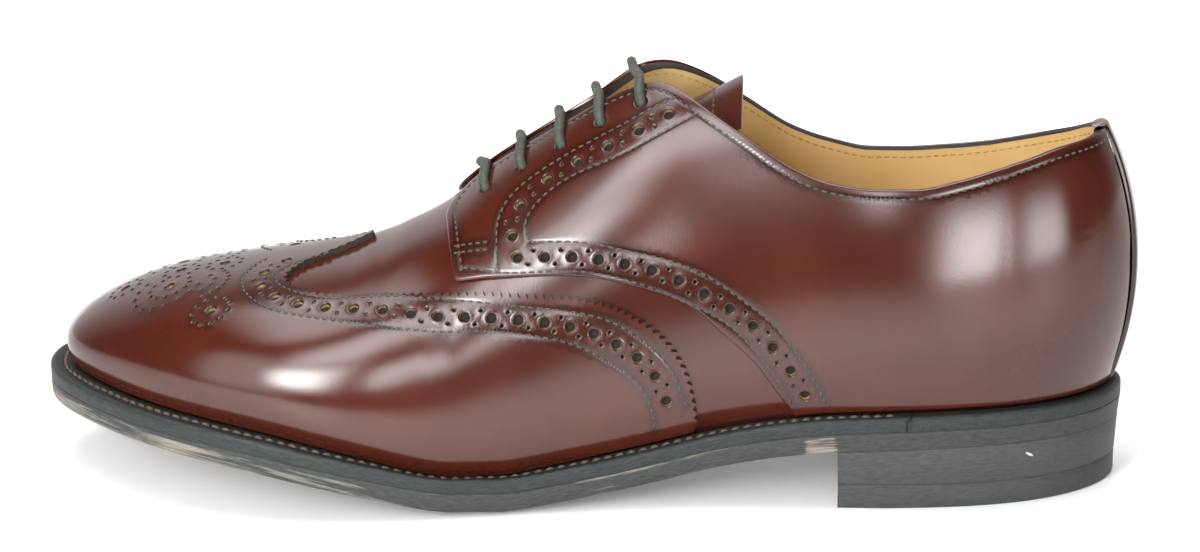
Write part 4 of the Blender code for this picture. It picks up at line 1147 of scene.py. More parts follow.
# Back strip: a narrow strip of calf glued over the seam at the back of the heel. Its sides are turned in,
# and its top is a tab folded over the top line and down inside.
STRIP_TOP = 2.3
STRIP_FOOT = 1.4
STRIP_EDGE = 0.9
STRIP_ROUND = 1.0
TAB_RISE = 1.2
TAB_STEPS = 8
strip_across = np.linspace(-1, 1, 25)
strip_climb = np.linspace(0, 1, 70)
strip_points = []
strip_seam = []
for share in strip_across:
    side = "lateral" if share < 0 else "medial"
    rib = RIB_FIRST + abs(share) * STRIP_HALF_WIDTH
    low = STRIP_FOOT / girth(side, rib)
    climb = low + (top_line[side](rib) - low) * strip_climb
    edge = np.clip((1 - abs(share)) * STRIP_HALF_WIDTH / STRIP_EDGE, 0, 1)
    lift = STRIP_TOP - STRIP_ROUND * (1 - np.sqrt(np.clip(1 - (1 - edge) ** 2, 0, 1)))
    places, _ = skin(pattern(side, np.full(len(climb), rib), climb), lift)
    over = []
    for k in range(1, TAB_STEPS + 1):
        angle = math.pi * k / TAB_STEPS
        height = (lift - WALL) / 2 + (lift + WALL) / 2 * math.cos(angle)
        spot = pattern(side, [rib], [top_line[side](rib)])
        spot[:, 1] += (1 if side == "lateral" else -1) * TAB_RISE * math.sin(angle)
        over.append(skin(spot, height)[0])
    strip_points.append(np.vstack([places] + over))
    strip_seam.append(np.full(len(strip_points[-1]), 1.0 - edge))
faces = grid_faces(len(strip_across), len(strip_points[0]), False)
piece("back_strip_calf", np.vstack(strip_points), faces, [polished_calf],
      ["back_strip"], marks={"seam": np.concatenate(strip_seam)})


# Tongue: one layer of calf sewn under the vamp, hanging between the facings and standing up past them.
# Its top edge is cut, and one row of stitches crosses it below the edge.
TONGUE = table("station sag half", [
    (107.0, 8.7, 24.0), (120.0, 12.5, 24.0), (135.0, 13.2, 22.0), (160.0, 7.4, 20.0), (180.0, 2.2, 17.0),
    (189.0, 0.5, 15.0), (197.0, 0.5, 13.0)])
TONGUE_CLEAR = 0.4
TONGUE_THICK = 1.4
TONGUE_RIBS = 70
TONGUE_STEPS = 36
TONGUE_SEAM = 115.0
TONGUE_SEAM_HALF = 0.92
TONGUE_BURNISH = 0.15
tongue_sag = spline(TONGUE["station"], TONGUE["sag"])
tongue_half = spline(TONGUE["station"], TONGUE["half"])


def tongue_surface(rib, across):
    rib, across = np.broadcast_arrays(np.asarray(rib, float), np.asarray(across, float))
    ab = np.stack([rib, across * tongue_half(rib)], axis=-1).reshape(-1, 2)
    places, normals = skin(ab, -WALL - GAP)
    places[:, 2] -= np.maximum(tongue_sag(ab[:, 0]), TONGUE_CLEAR)
    return places, normals


ribs = np.linspace(TONGUE["station"][0], TONGUE["station"][-1], TONGUE_RIBS)
across = np.linspace(-1, 1, 2 * TONGUE_STEPS + 1)
outer, normals = tongue_surface(ribs[:, None], across[None, :])
inner = outer - normals * TONGUE_THICK
columns = len(across)
faces = np.vstack([grid_faces(TONGUE_RIBS, columns, False),
                   len(outer) + grid_faces(TONGUE_RIBS, columns, True)])
border = list(range(columns)) + [i * columns + columns - 1 for i in range(1, TONGUE_RIBS)]
border += [TONGUE_RIBS * columns - 1 - i for i in range(1, columns)]
border += [(TONGUE_RIBS - 1 - i) * columns for i in range(1, TONGUE_RIBS - 1)]
upper_rim = 2 * len(outer) + np.arange(len(border))
lower_rim = upper_rim + len(border)
walls = np.stack([upper_rim, np.roll(upper_rim, -1), np.roll(lower_rim, -1), lower_rim], axis=1)
points = np.vstack([outer, inner, outer[border], inner[border]])

# Pared edge of the tongue: pale grey undyed leather, with a painted highlight along it
pared_edge_and_highlight = grained_look("pared_tongue_edge_and_highlight", CUT_FIBRE, 3.0, [(0.0, "6d655f"), (1.0, "a39c95")],
                          (0.5, 0.8), 0.4)
piece("tongue_calf", points, np.vstack([faces, walls]), [polished_calf, pared_edge_and_highlight],
      ["tongue"], [0] * len(faces) + [1] * len(walls), {"seam": np.full(len(points), TONGUE_BURNISH)})
across = np.linspace(-TONGUE_SEAM_HALF, TONGUE_SEAM_HALF, 60)
stitches("tongue_stitching", [tongue_surface(TONGUE_SEAM, across)], STITCH_PITCH, STITCH_RADIUS, linen_thread)


# Welt: a strip of dark leather sewn to the upper and insole round the forefoot and waist, then stitched
# down to the outsole. It ends in a scarf near the heel breast, where the plain heel rand goes on.
SCARF_STATION = 60.0
SCARF_SLANT = 5.0
WELT_STEP = 1.0
WELT_STITCH_PITCH = 3.3
WELT_STITCH_RADIUS = 0.6
WHEEL_PITCH = 1.15
STITCH_SHARE = 0.52
STITCH_GROOVE = 0.55

# Across the ball the sole is a little round, so its edges stand clear of the ground
SOLE_ROLL_WIDTH = 8.5
SOLE_ROLL = table("station rise", [
    (0.0, 0.0), (140.0, 0.0), (158.0, 0.6), (172.0, 1.3), (186.0, 2.0), (198.0, 1.7), (212.0, 0.7),
    (232.0, 0.0), (306.0, 0.0)])
sole_roll = steady(SOLE_ROLL["station"], SOLE_ROLL["rise"])
whole = np.vstack([OUTLINE, OUTLINE[:1]])
inward = np.vstack([OUTLINE_INWARD, OUTLINE_INWARD[:1]])
whole_run = run_of(whole)


def outline_run(station, side):
    half = slice(OUTLINE_POINTS) if side == "lateral" else slice(OUTLINE_POINTS, None)
    way = 1 if side == "lateral" else -1
    return np.interp(way * station, np.maximum.accumulate(way * whole[half, 0]), whole_run[half])


# Places along the outline, set in by a distance and at a height above the welt's underside
def edge_places(t, inset, rise):
    t = t % whole_run[-1]
    s = np.interp(t, whole_run, whole[:, 0]) + np.interp(t, whole_run, inward[:, 0]) * inset
    y = np.interp(t, whole_run, whole[:, 1]) + np.interp(t, whole_run, inward[:, 1]) * inset
    roll = sole_roll(s) * np.clip(1 - inset / SOLE_ROLL_WIDTH, 0, 1)
    return np.stack([s, y, welt_under(s) + roll + rise], axis=-1)


# Painted shade on top of the welt, in the crevice beside the upper: near black and dull
WELT_SHADE_GRAIN = 0.9
welt_crevice_shade = grained_look("welt_crevice_painted_shade", WELT_SHADE_GRAIN, 4.0, [(0.35, "0d0c0b"), (0.75, "2b2824")],
                             (0.55, 0.8), 0.5, 0.0002)

# The profile of the strip runs up its edge and across its top to the upper, as set-in, rise and wear
WELT_SHADE_FROM = 8
WHEEL_RISE = 1.2
WHEEL_HALF = 0.7


def welt_strip(name, first, last, slant, grooved, look, nodes):
    t = np.linspace(first, last, int((last - first) / WELT_STEP))
    feather = feather_inset(np.interp(t % whole_run[-1], whole_run, whole[:, 0]))
    groove = STITCH_SHARE * feather
    dip = STITCH_GROOVE if grooved else 0.0
    profile = [
        (0.14, 0.0, 0.85), (0.0, 0.16, 0.6), (0.0, 0.7, 0.2), (0.0, 1.3, 0.15), (0.0, 2.0, 0.15),
        (0.0, 2.8, 0.2), (0.12, 3.5, 0.45), (0.5, 3.9, 0.5), (1.3, 4.0, 0.3), (groove - 1.0, 4.0, 0.2),
        (groove - 0.6, 4.0 - 0.5 * dip, 0.1), (groove, 4.0 - dip, 0.0), (groove + 0.6, 4.0 - 0.5 * dip, 0.1),
        (groove + 1.0, 4.0, 0.2), (feather - 0.9, 3.95, 0.1), (feather + 0.1, 3.3, 0.0),
        (feather + WELT_UNDER_WALL, 3.2, 0.0), (feather + WELT_UNDER_WALL, 0.0, 0.0)]
    rows = []
    worn = []
    for inset, rise, wear in profile:
        shift = np.zeros(len(t))
        shift[0] = slant * (1 - rise / WELT_THICK)
        shift[-1] = -slant * (1 - rise / WELT_THICK)
        rows.append(edge_places(t + shift, inset, rise))
        worn.append(np.full(len(t), wear))
    grid = np.stack(rows + rows[:1], axis=1)
    across = len(profile) + 1
    faces = [tuple(f) for f in grid_faces(len(t), across, False)]
    faces.append(tuple(range(across - 1)))
    faces.append(tuple((len(t) - 1) * across + k for k in range(across - 1))[::-1])
    height = np.array([row[1] for row in profile + profile[:1]])
    wheel = (0.0 if grooved else 1.0) * np.exp(-((height - WHEEL_RISE) / WHEEL_HALF) ** 2)
    marks = {"worn": np.stack(worn + worn[:1], axis=1).ravel(), "run": np.repeat(t, across),
             "wheel": np.tile(wheel, len(t)), "rise": np.tile(height, len(t))}
    # The inner part of the welt's top takes the painted crevice shade
    top = np.tile(np.arange(across - 1) >= WELT_SHADE_FROM, len(t) - 1).astype(int)
    return piece(name, grid.reshape(-1, 3), faces, [look, welt_crevice_shade], nodes, [*top, 0, 0], marks)


# Inked and waxed sole leather: slate grey, drawn out along the edge, with beige fibre where it is scuffed.
# Marks give the wear and the wheel marks, a fine even ribbing rolled into the edge.
EDGE_STREAK = 0.5
EDGE_SCUFF = 1.2
EDGE_GRIT = 0.6


def sole_edge_look(name, dark, light, scuffed, scuff_share):
    look, tree, shader, place = new_look(name)
    along = add(tree, "SeparateXYZ", {"Vector": place})
    rise = add(tree, "Attribute", attribute_name="rise")
    level = add(tree, "Math", {0: rise.outputs["Fac"], 1: MM}, operation="MULTIPLY")
    edge = add(tree, "CombineXYZ", {"X": along.outputs["X"], "Y": along.outputs["Y"],
                                    "Z": level.outputs["Value"]})
    drawn = add(tree, "Mapping", {"Vector": edge.outputs["Vector"], "Scale": (0.2, 0.2, 1.0)})
    streak = add(tree, "TexNoise", {"Vector": drawn.outputs["Vector"], "Scale": 1000 / EDGE_STREAK,
                                    "Detail": 4.0})
    tint = add(tree, "ValToRGB", {"Fac": streak.outputs["Fac"]}, [(0.3, dark), (0.75, light)])
    worn = add(tree, "Attribute", attribute_name="worn")
    stretched = add(tree, "Mapping", {"Vector": edge.outputs["Vector"], "Scale": (0.05, 0.05, 1.0)})
    scuff = add(tree, "TexNoise", {"Vector": stretched.outputs["Vector"], "Scale": 1000 / EDGE_SCUFF,
                                   "Detail": 6.0, "Roughness": 0.7})
    amount = add(tree, "Math", {0: worn.outputs["Fac"], 1: scuff.outputs["Fac"]}, operation="MULTIPLY")
    bare = add(tree, "MapRange", {"Value": amount.outputs["Value"], "From Min": 0.42, "From Max": 0.58,
                                  "To Min": 0.0, "To Max": scuff_share})
    shade = add(tree, "MixRGB", {"Fac": bare.outputs["Result"], "Color1": tint.outputs["Color"],
                                 "Color2": hex_colour(scuffed)})
    grit = add(tree, "TexNoise", {"Vector": place, "Scale": 1000 / EDGE_GRIT, "Detail": 3.0})
    rough = add(tree, "MapRange", {"Value": streak.outputs["Fac"], "To Min": 0.36, "To Max": 0.6})
    relief = add(tree, "Math", {0: grit.outputs["Fac"], 1: streak.outputs["Fac"]}, operation="ADD")
    run = add(tree, "Attribute", attribute_name="run")
    turns = add(tree, "Math", {0: run.outputs["Fac"], 1: 2 * math.pi / WHEEL_PITCH}, operation="MULTIPLY")
    ribs = add(tree, "Math", {0: turns.outputs["Value"]}, operation="SINE")
    wheel = add(tree, "Attribute", attribute_name="wheel")
    rolled = add(tree, "Math", {0: ribs.outputs["Value"], 1: wheel.outputs["Fac"]}, operation="MULTIPLY")
    relief = add(tree, "Math", {0: relief.outputs["Value"], 1: rolled.outputs["Value"]}, operation="ADD")
    bump = add(tree, "Bump", {"Height": relief.outputs["Value"], "Strength": 0.5, "Distance": 0.00015})
    finish_with(tree, shader, shade.outputs["Color"], rough.outputs["Result"], bump.outputs["Normal"])
    shader.inputs["Specular IOR Level"].default_value = 0.2
    return look


inked_welt = sole_edge_look("inked_welt_leather", "25292a", "393e3e", "756d61", 0.5)
welt_from = outline_run(SCARF_STATION, "lateral")
welt_to = outline_run(SCARF_STATION, "medial")
welt_strip("welt_leather_strip", welt_from, welt_to, SCARF_SLANT, True, inked_welt, ["welt"])
welt_strip("heel_rand_strip", welt_to + GAP, welt_from + whole_run[-1] - GAP, -SCARF_SLANT, False, inked_welt,
           ["heel_rand"])

# Welt stitching: thick waxed thread, one stitch for each step of the awl
THREAD_ENDS = 4.0
THREAD_SINK = 0.3
THREAD_COVER = 0.86
thread_run = np.linspace(welt_from + THREAD_ENDS, welt_to - THREAD_ENDS, 900)
thread_inset = STITCH_SHARE * feather_inset(np.interp(thread_run, whole_run, whole[:, 0]))
thread_sway = 0.14 * np.sin(thread_run * 1.9) + 0.1 * np.sin(thread_run * 0.37)
thread_places = edge_places(thread_run, thread_inset + thread_sway, WELT_THICK - THREAD_SINK)
thread_up = np.tile((0.0, 0.0, 1.0), (len(thread_run), 1))
welt_thread = grained_look("waxed_welt_thread", THREAD_TWIST, 2.0, [(0.0, "2c2521"), (1.0, "665a4d")],
                           (0.5, 0.75), 0.4)
stitches("welt_stitching", [(thread_places, thread_up)], WELT_STITCH_PITCH, WELT_STITCH_RADIUS, welt_thread,
         THREAD_COVER)


# Outsole: thick oak-bark leather, stitched to the welt, trimmed flush with it, inked and waxed.
# Its edge has worn grey, most along the lower corner in front, at the waist and before the heel.
HEEL_LENGTH = 80.0
OUTSOLE_ROUND = 0.8
OUTSOLE_POINTS = 300
HEEL_FLUSH = 0.55
SOLE_WEAR = table("station low middle high", [
    (0.0, 0.2, 0.1, 0.2), (78.0, 0.2, 0.1, 0.2), (80.5, 0.9, 1.0, 0.7), (88.0, 0.9, 1.0, 0.7),
    (91.0, 0.5, 0.3, 0.5), (104.0, 0.6, 0.4, 0.7), (110.0, 0.8, 0.7, 1.0), (145.0, 0.9, 0.75, 1.0),
    (152.0, 0.7, 0.4, 0.7), (190.0, 0.7, 0.5, 0.8), (212.0, 1.0, 0.85, 0.6), (290.0, 1.1, 0.95, 0.6),
    (306.0, 1.0, 0.9, 0.6)])


def wear(level):
    return lambda s: np.interp(s, SOLE_WEAR["station"], SOLE_WEAR[level])


# Set-in of the lower edge: a rounded corner in front, a plain taper that meets the heel behind
def lower_inset(corner, taper):
    return lambda s: np.where(s < HEEL_LENGTH, taper, corner)


def rolled(above, share=1.0):
    return lambda s: sole_under(s) + share * sole_roll(s) + above


inked_sole = sole_edge_look("inked_sole_leather", "303332", "434644", "9a9184", 0.7)
plate("outsole_leather_plate", [
    (lower_inset(SOLE_ROLL_WIDTH, 2.0), sole_under, wear("low")),
    (lower_inset(0.4 * SOLE_ROLL_WIDTH, 1.2), rolled(0.0, 0.5), wear("low")),
    (lower_inset(OUTSOLE_ROUND, HEEL_FLUSH), rolled(0.0, 0.9), wear("low")),
    (lower_inset(0.4, HEEL_FLUSH * 0.95), rolled(0.25), wear("low")),
    (lower_inset(0.12, HEEL_FLUSH * 0.85), rolled(0.8), wear("middle")),
    (lower_inset(0.0, HEEL_FLUSH * 0.6), rolled(2.0), wear("middle")),
    (lower_inset(0.0, HEEL_FLUSH * 0.25), rolled(3.8), wear("middle")),
    (same(0.0), rolled(OUTSOLE_THICK), wear("high")),
    (same(0.14), rolled(OUTSOLE_THICK + 0.9 * GAP), wear("high")),
    (same(SOLE_ROLL_WIDTH), rolled(OUTSOLE_THICK, 0.0), wear("high"))],
    OUTSOLE_POINTS, inked_sole, ["outsole"])


# Heel: a stack of leather lifts glued and pegged under the seat, with a rubber top piece that meets the
# ground. The front face is cut hollow and left raw brown.
HEEL_HALF_WIDTH = 37.0
BREAST_HOLLOW = 2.5
TOP_PIECE_THICK = 7.0
TOP_PIECE_INSET = 1.3
STACK_INSET_LOW = 1.2
STACK_INSET_HIGH = 0.6
BREAST_POINTS = 30
HEEL_POINTS = 230
HEEL_STEP = 0.8


def heel_ring(inset):
    sides = inset_outline(inset)
    lateral = sides[:OUTLINE_POINTS + 1]
    medial = np.vstack([sides[OUTLINE_POINTS:], sides[:1]])

    def within(line):
        front = HEEL_LENGTH - BREAST_HOLLOW * (1 - (line[:, 1] / HEEL_HALF_WIDTH) ** 2)
        return line[line[:, 0] < front]
    rim = resample(np.vstack([within(medial), within(lateral)]), HEEL_STEP)
    rim = resample(rim, run_of(rim)[-1] / HEEL_POINTS)
    y = np.linspace(rim[-1, 1], rim[0, 1], BREAST_POINTS)
    front = np.c_[HEEL_LENGTH - BREAST_HOLLOW * (1 - (y / HEEL_HALF_WIDTH) ** 2), y]
    return np.vstack([rim, front]), len(rim)


def heel_block(name, layers, looks, nodes):
    rings = []
    worn = []
    for inset, height, wear in layers:
        ring, rim = heel_ring(inset)
        rings.append(np.c_[ring, height(ring[:, 0]) * np.ones(len(ring))])
        worn.append(np.full(len(ring), wear))
    around = len(rings[0])
    faces = []
    look_index = []
    for layer in range(len(rings) - 1):
        for i in range(around):
            a = layer * around + i
            b = layer * around + (i + 1) % around
            faces.append((a, a + around, b + around, b))
            look_index.append(1 if i >= rim - 1 else 0)
    faces.append(tuple(range(around)))
    faces.append(tuple((len(rings) - 1) * around + i for i in range(around))[::-1])
    made = piece(name, np.vstack(rings), faces, looks, nodes, look_index + [0, 0],
                 {"worn": np.concatenate(worn), "rise": np.vstack(rings)[:, 2]})
    made.data.polygons.foreach_set("use_smooth", np.r_[np.ones(len(faces) - 2, bool), np.zeros(2, bool)])
    return made


inked_stack = sole_edge_look("inked_stacked_leather", "3a3c3c", "4a4c4d", "8b857c", 0.4)

# A knock has left one short pale nick in the ink, low on the outer side
NICK_PLACE = (123.8, -29.6, 14.0)
NICK_HALF_SIZES = (1.6, 1.6, 0.42)
NICK_SLOPE = 31.0
tree = inked_stack.node_tree
shader = tree.nodes["Principled BSDF"]
nick = add(tree, "Mapping", {"Vector": add(tree, "TexCoord").outputs["Object"],
                             "Location": [c * MM for c in NICK_PLACE],
                             "Rotation": (0.0, math.radians(NICK_SLOPE), 0.0),
                             "Scale": [c * MM for c in NICK_HALF_SIZES]}, vector_type="TEXTURE")
off = add(tree, "VectorMath", {0: nick.outputs["Vector"]}, operation="LENGTH")
bare = add(tree, "MapRange", {"Value": off.outputs["Value"], "From Min": 1.0, "From Max": 0.5})
inked = shader.inputs["Base Color"].links[0].from_socket
shade = add(tree, "MixRGB", {"Fac": bare.outputs["Result"], "Color1": inked, "Color2": hex_colour("d8d2c6")})
tree.links.new(shade.outputs["Color"], shader.inputs["Base Color"])
# Moulded rubber of the top piece, and the raw leather of the breast
top_rubber = sole_edge_look("moulded_heel_rubber", "363939", "464948", "78736b", 0.3)
raw_breast = sole_edge_look("raw_breast_leather", "4a3a2c", "7a6048", "a08f78", 0.4)
heel_block("heel_stack_lifts", [
    (STACK_INSET_LOW + 0.12, same(TOP_PIECE_THICK + 0.1 * GAP), 0.6),
    (STACK_INSET_LOW, same(TOP_PIECE_THICK + 0.2), 0.3),
    (STACK_INSET_LOW - 0.3, same(TOP_PIECE_THICK + GAP + 5.0), 0.2),
    (STACK_INSET_HIGH, lambda s: sole_under(s) - 0.2, 0.3),
    (STACK_INSET_HIGH + 0.1, lambda s: sole_under(s) - 0.1 * GAP, 0.6)],
    [inked_stack, raw_breast], ["heel_stack"])
heel_block("heel_top_piece_rubber", [
    (TOP_PIECE_INSET + 0.6, same(0.0), 0.8),
    (TOP_PIECE_INSET + 0.15, same(0.25), 0.7),
    (TOP_PIECE_INSET, same(0.7), 0.4),
    (TOP_PIECE_INSET, same(TOP_PIECE_THICK - 0.15), 0.3),
    (TOP_PIECE_INSET + 0.12, same(TOP_PIECE_THICK), 0.6)],
    [top_rubber, raw_breast], ["heel_top_piece"])


# Lace: a round waxed cotton cord, laced straight across in five bars. Each bar lies on the facings, crosses
# the throat and goes down through its two eyelets, where it ends out of sight.
LACE_RADIUS = 1.4
LACE_SIDES = 12
LACE_SINK = 3.0
LACE_PRESS = 0.3
LACE_BRAID = 1.6
LACE_FUZZ = 0.8
LACE_STRANDS = 4
LACE_STEP = 0.7
LACE_FROM_EYELET = 0.022


def tube(path, radius, sides):
    ahead = np.gradient(path, axis=0)
    ahead /= np.linalg.norm(ahead, axis=1)[:, None]
    up = np.zeros_like(path)
    up[0] = np.cross(ahead[0], (0.31, 0.9, 0.2))
    for i in range(len(path)):
        up[i] = up[max(i - 1, 0)] - ahead[i] * (up[max(i - 1, 0)] @ ahead[i])
        up[i] /= np.linalg.norm(up[i])
    side = np.cross(ahead, up)
    angle = np.linspace(0, 2 * math.pi, sides, endpoint=False)
    around = up[:, None] * np.cos(angle)[None, :, None] + side[:, None] * np.sin(angle)[None, :, None]
    rings = path[:, None] + radius * around
    faces = []
    for i in range(len(path) - 1):
        for k in range(sides):
            p, q = i * sides + k, i * sides + (k + 1) % sides
            faces.append((p, p + sides, q + sides, q))
    faces.append(tuple(range(sides)))
    faces.append(tuple((len(path) - 1) * sides + k for k in range(sides))[::-1])
    marks = {"along": np.repeat(run_of(path), sides), "round": np.tile(angle / (2 * math.pi), len(path))}
    return rings.reshape(-1, 3), faces, marks


# Waxed braided cotton: grey-green and dull, with a fine crossing braid
braided_cotton, tree, shader, place = new_look("waxed_braided_cotton")
along = add(tree, "Attribute", attribute_name="along")
turn = add(tree, "Attribute", attribute_name="round")
strands = []
for way in (1, -1):
    slope = add(tree, "Math", {0: along.outputs["Fac"], 1: 2 * math.pi / LACE_BRAID}, operation="MULTIPLY")
    wind = add(tree, "Math", {0: turn.outputs["Fac"], 1: way * 2 * math.pi * LACE_STRANDS},
               operation="MULTIPLY")
    phase = add(tree, "Math", {0: slope.outputs["Value"], 1: wind.outputs["Value"]}, operation="ADD")
    strands.append(add(tree, "Math", {0: phase.outputs["Value"]}, operation="SINE").outputs["Value"])
braid = add(tree, "Math", {0: strands[0], 1: strands[1]}, operation="MAXIMUM")
fuzz = add(tree, "TexNoise", {"Vector": place, "Scale": 1000 / LACE_FUZZ, "Detail": 3.0})
tint = add(tree, "ValToRGB", {"Fac": fuzz.outputs["Fac"]}, [(0.3, "2c2e28"), (0.75, "494b41")])
rough = add(tree, "MapRange", {"Value": fuzz.outputs["Fac"], "To Min": 0.5, "To Max": 0.75})
bump = add(tree, "Bump", {"Height": braid.outputs["Value"], "Strength": 0.35, "Distance": 0.00012})
finish_with(tree, shader, tint.outputs["Color"], rough.outputs["Result"], bump.outputs["Normal"])

for number in range(1, len(LACING["station"]) + 1):
    halves = []
    for side in SIDES:
        station, share = eyelet_place(side)
        station, share = station[number - 1], share[number - 1]
        eyelet = pattern(side, [station], [share])
        inner = np.vstack([skin(eyelet, lift)[0] for lift in (-LACE_SINK, -0.5, 1.2)])
        over_share = np.linspace(share + LACE_FROM_EYELET, top_line[side](station), 5)
        over = skin(pattern(side, np.full(5, station), over_share), QUARTER_TOP + LACE_RADIUS - LACE_PRESS)[0]
        halves.append(np.vstack([inner, over]))
    middle = (halves[0][-1] + halves[1][-1]) / 2
    path = np.vstack([halves[0], middle[None], halves[1][::-1]])
    points, faces, marks = tube(smooth_line(path, LACE_STEP), LACE_RADIUS, LACE_SIDES)
    piece("lace_bar_%d_cord" % number, points, faces, [braided_cotton],
          ["lace_bar_%d" % number], marks=marks)


# Floor and light: white paper on a table under soft studio light, in a dim room, and the camera of the
# photograph, a long lens at a low height, a little towards the heel.
PAPER_FRONT = -0.6
PAPER_BACK = 3.0
PAPER_HALF = 3.0
ROOM_FLOOR = -0.8
ROOM_HALF = 8.0
CAMERA_DISTANCE = 850.0
CAMERA_RISE = 16.5
CAMERA_TURN = 3.5
CAMERA_ROLL = -0.6
CAMERA_AIM = (4.83, -CENTRE_Y, 55.5)
LENS_PIXELS = 3023.0
IMAGE_WIDTH = 1200.0
PAPER_FLECK = 60.0
PAPER_GLOW = 0.12
FRONT_GLOW = 0.4
DARK_FROM = -0.2
CONCRETE_FLECK = 90.0


def ground(name, half, front, back, height, look):
    mesh = bpy.data.meshes.new(name)
    corners = [(-half, front, height), (half, front, height), (half, back, height), (-half, back, height)]
    mesh.from_pydata(corners, [], [(0, 1, 2, 3)])
    mesh.materials.append(look)
    made = bpy.data.objects.new(name, mesh)
    bpy.context.scene.collection.objects.link(made)


# White paper: matt, with a painted glow, faint round the shoe, a little brighter in front of it and blown out
# far behind it, and painted shade in its colour, falling into the dark towards its front edge
white_paper, tree, shader, place = new_look("white_paper")
fleck = add(tree, "TexNoise", {"Vector": place, "Scale": 1000 / PAPER_FLECK, "Detail": 2.0})
tint = add(tree, "ValToRGB", {"Fac": fleck.outputs["Fac"]}, [(0.0, "f4f4f5"), (1.0, "fbfbfb")])
rough = add(tree, "MapRange", {"Value": fleck.outputs["Fac"], "To Min": 0.4, "To Max": 0.5})
bump = add(tree, "Bump", {"Height": fleck.outputs["Fac"], "Strength": 0.02, "Distance": 0.0001})
depth = add(tree, "SeparateXYZ", {"Vector": place})
# Painted shade: the paper's colour darkens towards its front edge
dim = add(tree, "MapRange", {"Value": depth.outputs["Y"], "From Min": DARK_FROM, "From Max": PAPER_FRONT})
shade = add(tree, "MixRGB", {"Fac": dim.outputs["Result"], "Color1": tint.outputs["Color"],
                             "Color2": hex_colour("2a2a2a")})
finish_with(tree, shader, shade.outputs["Color"], rough.outputs["Result"], bump.outputs["Normal"])
# Painted light: the paper glows, though it is no lamp
near = add(tree, "MapRange", {"Value": depth.outputs["Y"], "From Min": -0.07, "From Max": -0.16,
                              "To Min": PAPER_GLOW, "To Max": FRONT_GLOW})
end = add(tree, "MapRange", {"Value": depth.outputs["Y"], "From Min": PAPER_FRONT, "From Max": DARK_FROM})
back = add(tree, "MapRange", {"Value": depth.outputs["Y"], "From Min": 0.15, "From Max": 0.7})
glow = add(tree, "Math", {0: near.outputs["Result"], 1: end.outputs["Result"]}, operation="MULTIPLY")
glow = add(tree, "Math", {0: glow.outputs["Value"], 1: back.outputs["Result"]}, operation="ADD")
tree.links.new(glow.outputs["Value"], shader.inputs["Emission Strength"])
shader.inputs["Emission Color"].default_value = hex_colour("ffffff")
ground("paper_floor", PAPER_HALF, PAPER_FRONT, PAPER_BACK, 0.0, white_paper)

# Painted concrete of the room below the table: grey and dull
grey_concrete = grained_look("grey_concrete", CONCRETE_FLECK, 4.0, [(0.0, "4a4a4b"), (1.0, "565657")],
                             (0.7, 0.9), 0.2, 0.001)
ground("room_floor", ROOM_HALF, -ROOM_HALF, ROOM_HALF, ROOM_FLOOR, grey_concrete)

# A white backdrop fills the sky behind the shoe up to its top edge; the rest of the room is dim
SKY_BEHIND = 1.0
SKY_ABOVE = 0.25
SKY_BEFORE = 0.04
world = bpy.data.worlds.new("white_studio")
world.use_nodes = True
tree = world.node_tree
outward = add(tree, "SeparateXYZ", {"Vector": add(tree, "TexCoord").outputs["Generated"]})
fade = add(tree, "MapRange", {"Value": outward.outputs["Y"], "From Min": 0.25, "From Max": 0.75,
                              "To Min": SKY_BEFORE, "To Max": SKY_BEHIND})
top = add(tree, "MapRange", {"Value": outward.outputs["Z"], "From Min": 0.45, "From Max": 0.65,
                             "To Min": 1.0, "To Max": SKY_ABOVE})
sky = add(tree, "Math", {0: fade.outputs["Result"], 1: top.outputs["Result"]}, operation="MULTIPLY")
tree.links.new(sky.outputs["Value"], tree.nodes["Background"].inputs["Strength"])
tree.nodes["Background"].inputs["Color"].default_value = hex_colour("fafbfd")
bpy.context.scene.world = world

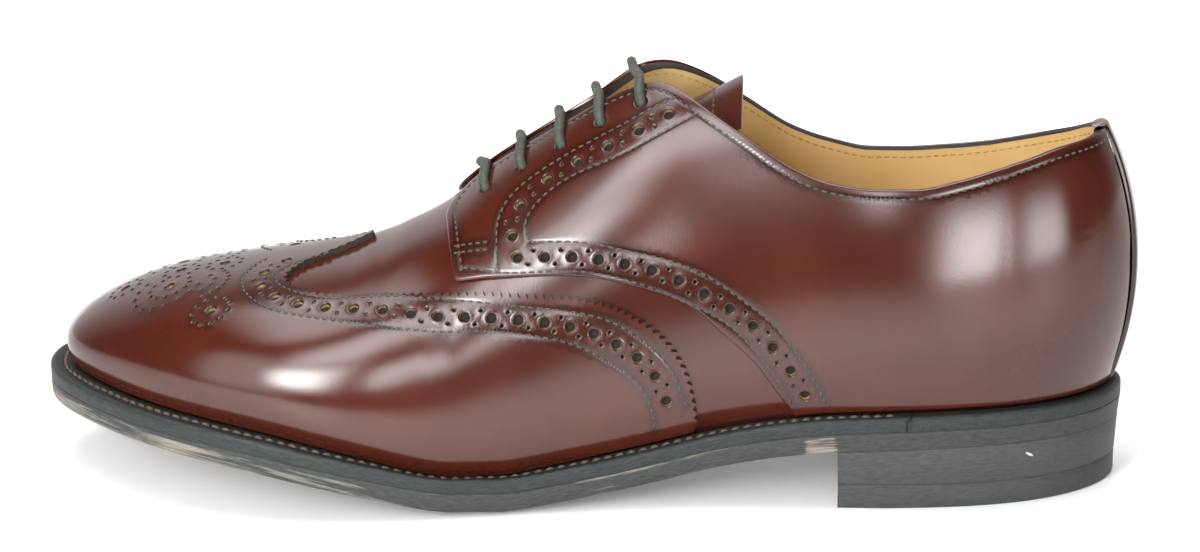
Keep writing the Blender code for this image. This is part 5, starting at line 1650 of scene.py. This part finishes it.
# Softboxes and windows by their bearing from the camera's side, height angle, distance, width, height, the
# even share of each half and brightness. Each is brightest in the middle and fades towards its edge.
LIGHT_AIM = Vector((0.0, 0.0, 0.06))
LAMPS = [
    ("key_strip", -22.0, 20.0, 0.7, 0.36, 0.44, 0.05, 24.0),
    ("key_softbox", -18.0, 46.0, 0.73, 0.34, 0.42, 0.12, 7.0),
    ("ball_strip", 2.6, 19.5, 1.5, 0.24, 0.7, 0.1, 10.0),
    ("left_panel", -40.0, 22.0, 1.5, 1.4, 1.8, 0.2, 2.4),
    ("overhead_softbox", 180.0, 84.0, 1.2, 1.7, 1.5, 0.2, 5.0),
    ("window", 23.2, -1.5, 1.27, 0.5, 0.8, 0.12, 12.5),
    ("far_window", 47.0, -1.5, 1.3, 0.75, 0.75, 0.12, 8.0)]
for name, bearing, height, far, wide, tall, even, brightness in LAMPS:
    lamp = bpy.data.lights.new(name, "AREA")
    lamp.shape = "RECTANGLE"
    lamp.size = wide
    lamp.size_y = tall
    lamp.energy = brightness * math.pi * wide * tall
    lamp.use_nodes = True
    tree = lamp.node_tree
    cloth = add(tree, "SeparateXYZ", {"Vector": add(tree, "NewGeometry").outputs["Parametric"]})
    fades = []
    for way in "XY":
        off = add(tree, "Math", {0: cloth.outputs[way], 1: 0.5}, operation="SUBTRACT")
        off = add(tree, "Math", {0: off.outputs["Value"]}, operation="ABSOLUTE")
        fades.append(add(tree, "MapRange", {"Value": off.outputs["Value"], "From Min": even, "From Max": 0.5,
                                            "To Min": 1.0, "To Max": 0.0},
                         interpolation_type="SMOOTHSTEP").outputs["Result"])
    glow = add(tree, "Math", {0: fades[0], 1: fades[1]}, operation="MULTIPLY")
    tree.links.new(glow.outputs["Value"], tree.nodes["Emission"].inputs["Strength"])
    holder = bpy.data.objects.new(name, lamp)
    level = math.cos(math.radians(height))
    way = Vector((math.sin(math.radians(bearing)) * level, -math.cos(math.radians(bearing)) * level,
                  math.sin(math.radians(height))))
    holder.location = LIGHT_AIM + way * far
    holder.rotation_euler = (-way).to_track_quat("-Z", "Y").to_euler()
    bpy.context.scene.collection.objects.link(holder)

rise = math.radians(CAMERA_RISE)
turn = math.radians(CAMERA_TURN)
roll = math.radians(CAMERA_ROLL)
back = Vector((math.sin(turn) * math.cos(rise), -math.cos(turn) * math.cos(rise), math.sin(rise)))
level = Vector((0, 0, 1)).cross(back).normalized()
above = back.cross(level)
right = level * math.cos(roll) + above * math.sin(roll)
upward = above * math.cos(roll) - level * math.sin(roll)
camera = bpy.data.cameras.new("photo_camera")
camera.sensor_width = 36.0
camera.lens = LENS_PIXELS / IMAGE_WIDTH * camera.sensor_width
camera.clip_start = 0.01
viewer = bpy.data.objects.new("photo_camera", camera)
turned = Matrix((right, upward, back)).transposed().to_4x4()
turned.translation = (Vector(CAMERA_AIM) + back * CAMERA_DISTANCE) * MM
viewer.matrix_world = turned
bpy.context.scene.collection.objects.link(viewer)
bpy.context.scene.camera = viewer
bpy.context.scene.view_settings.view_transform = "Standard"
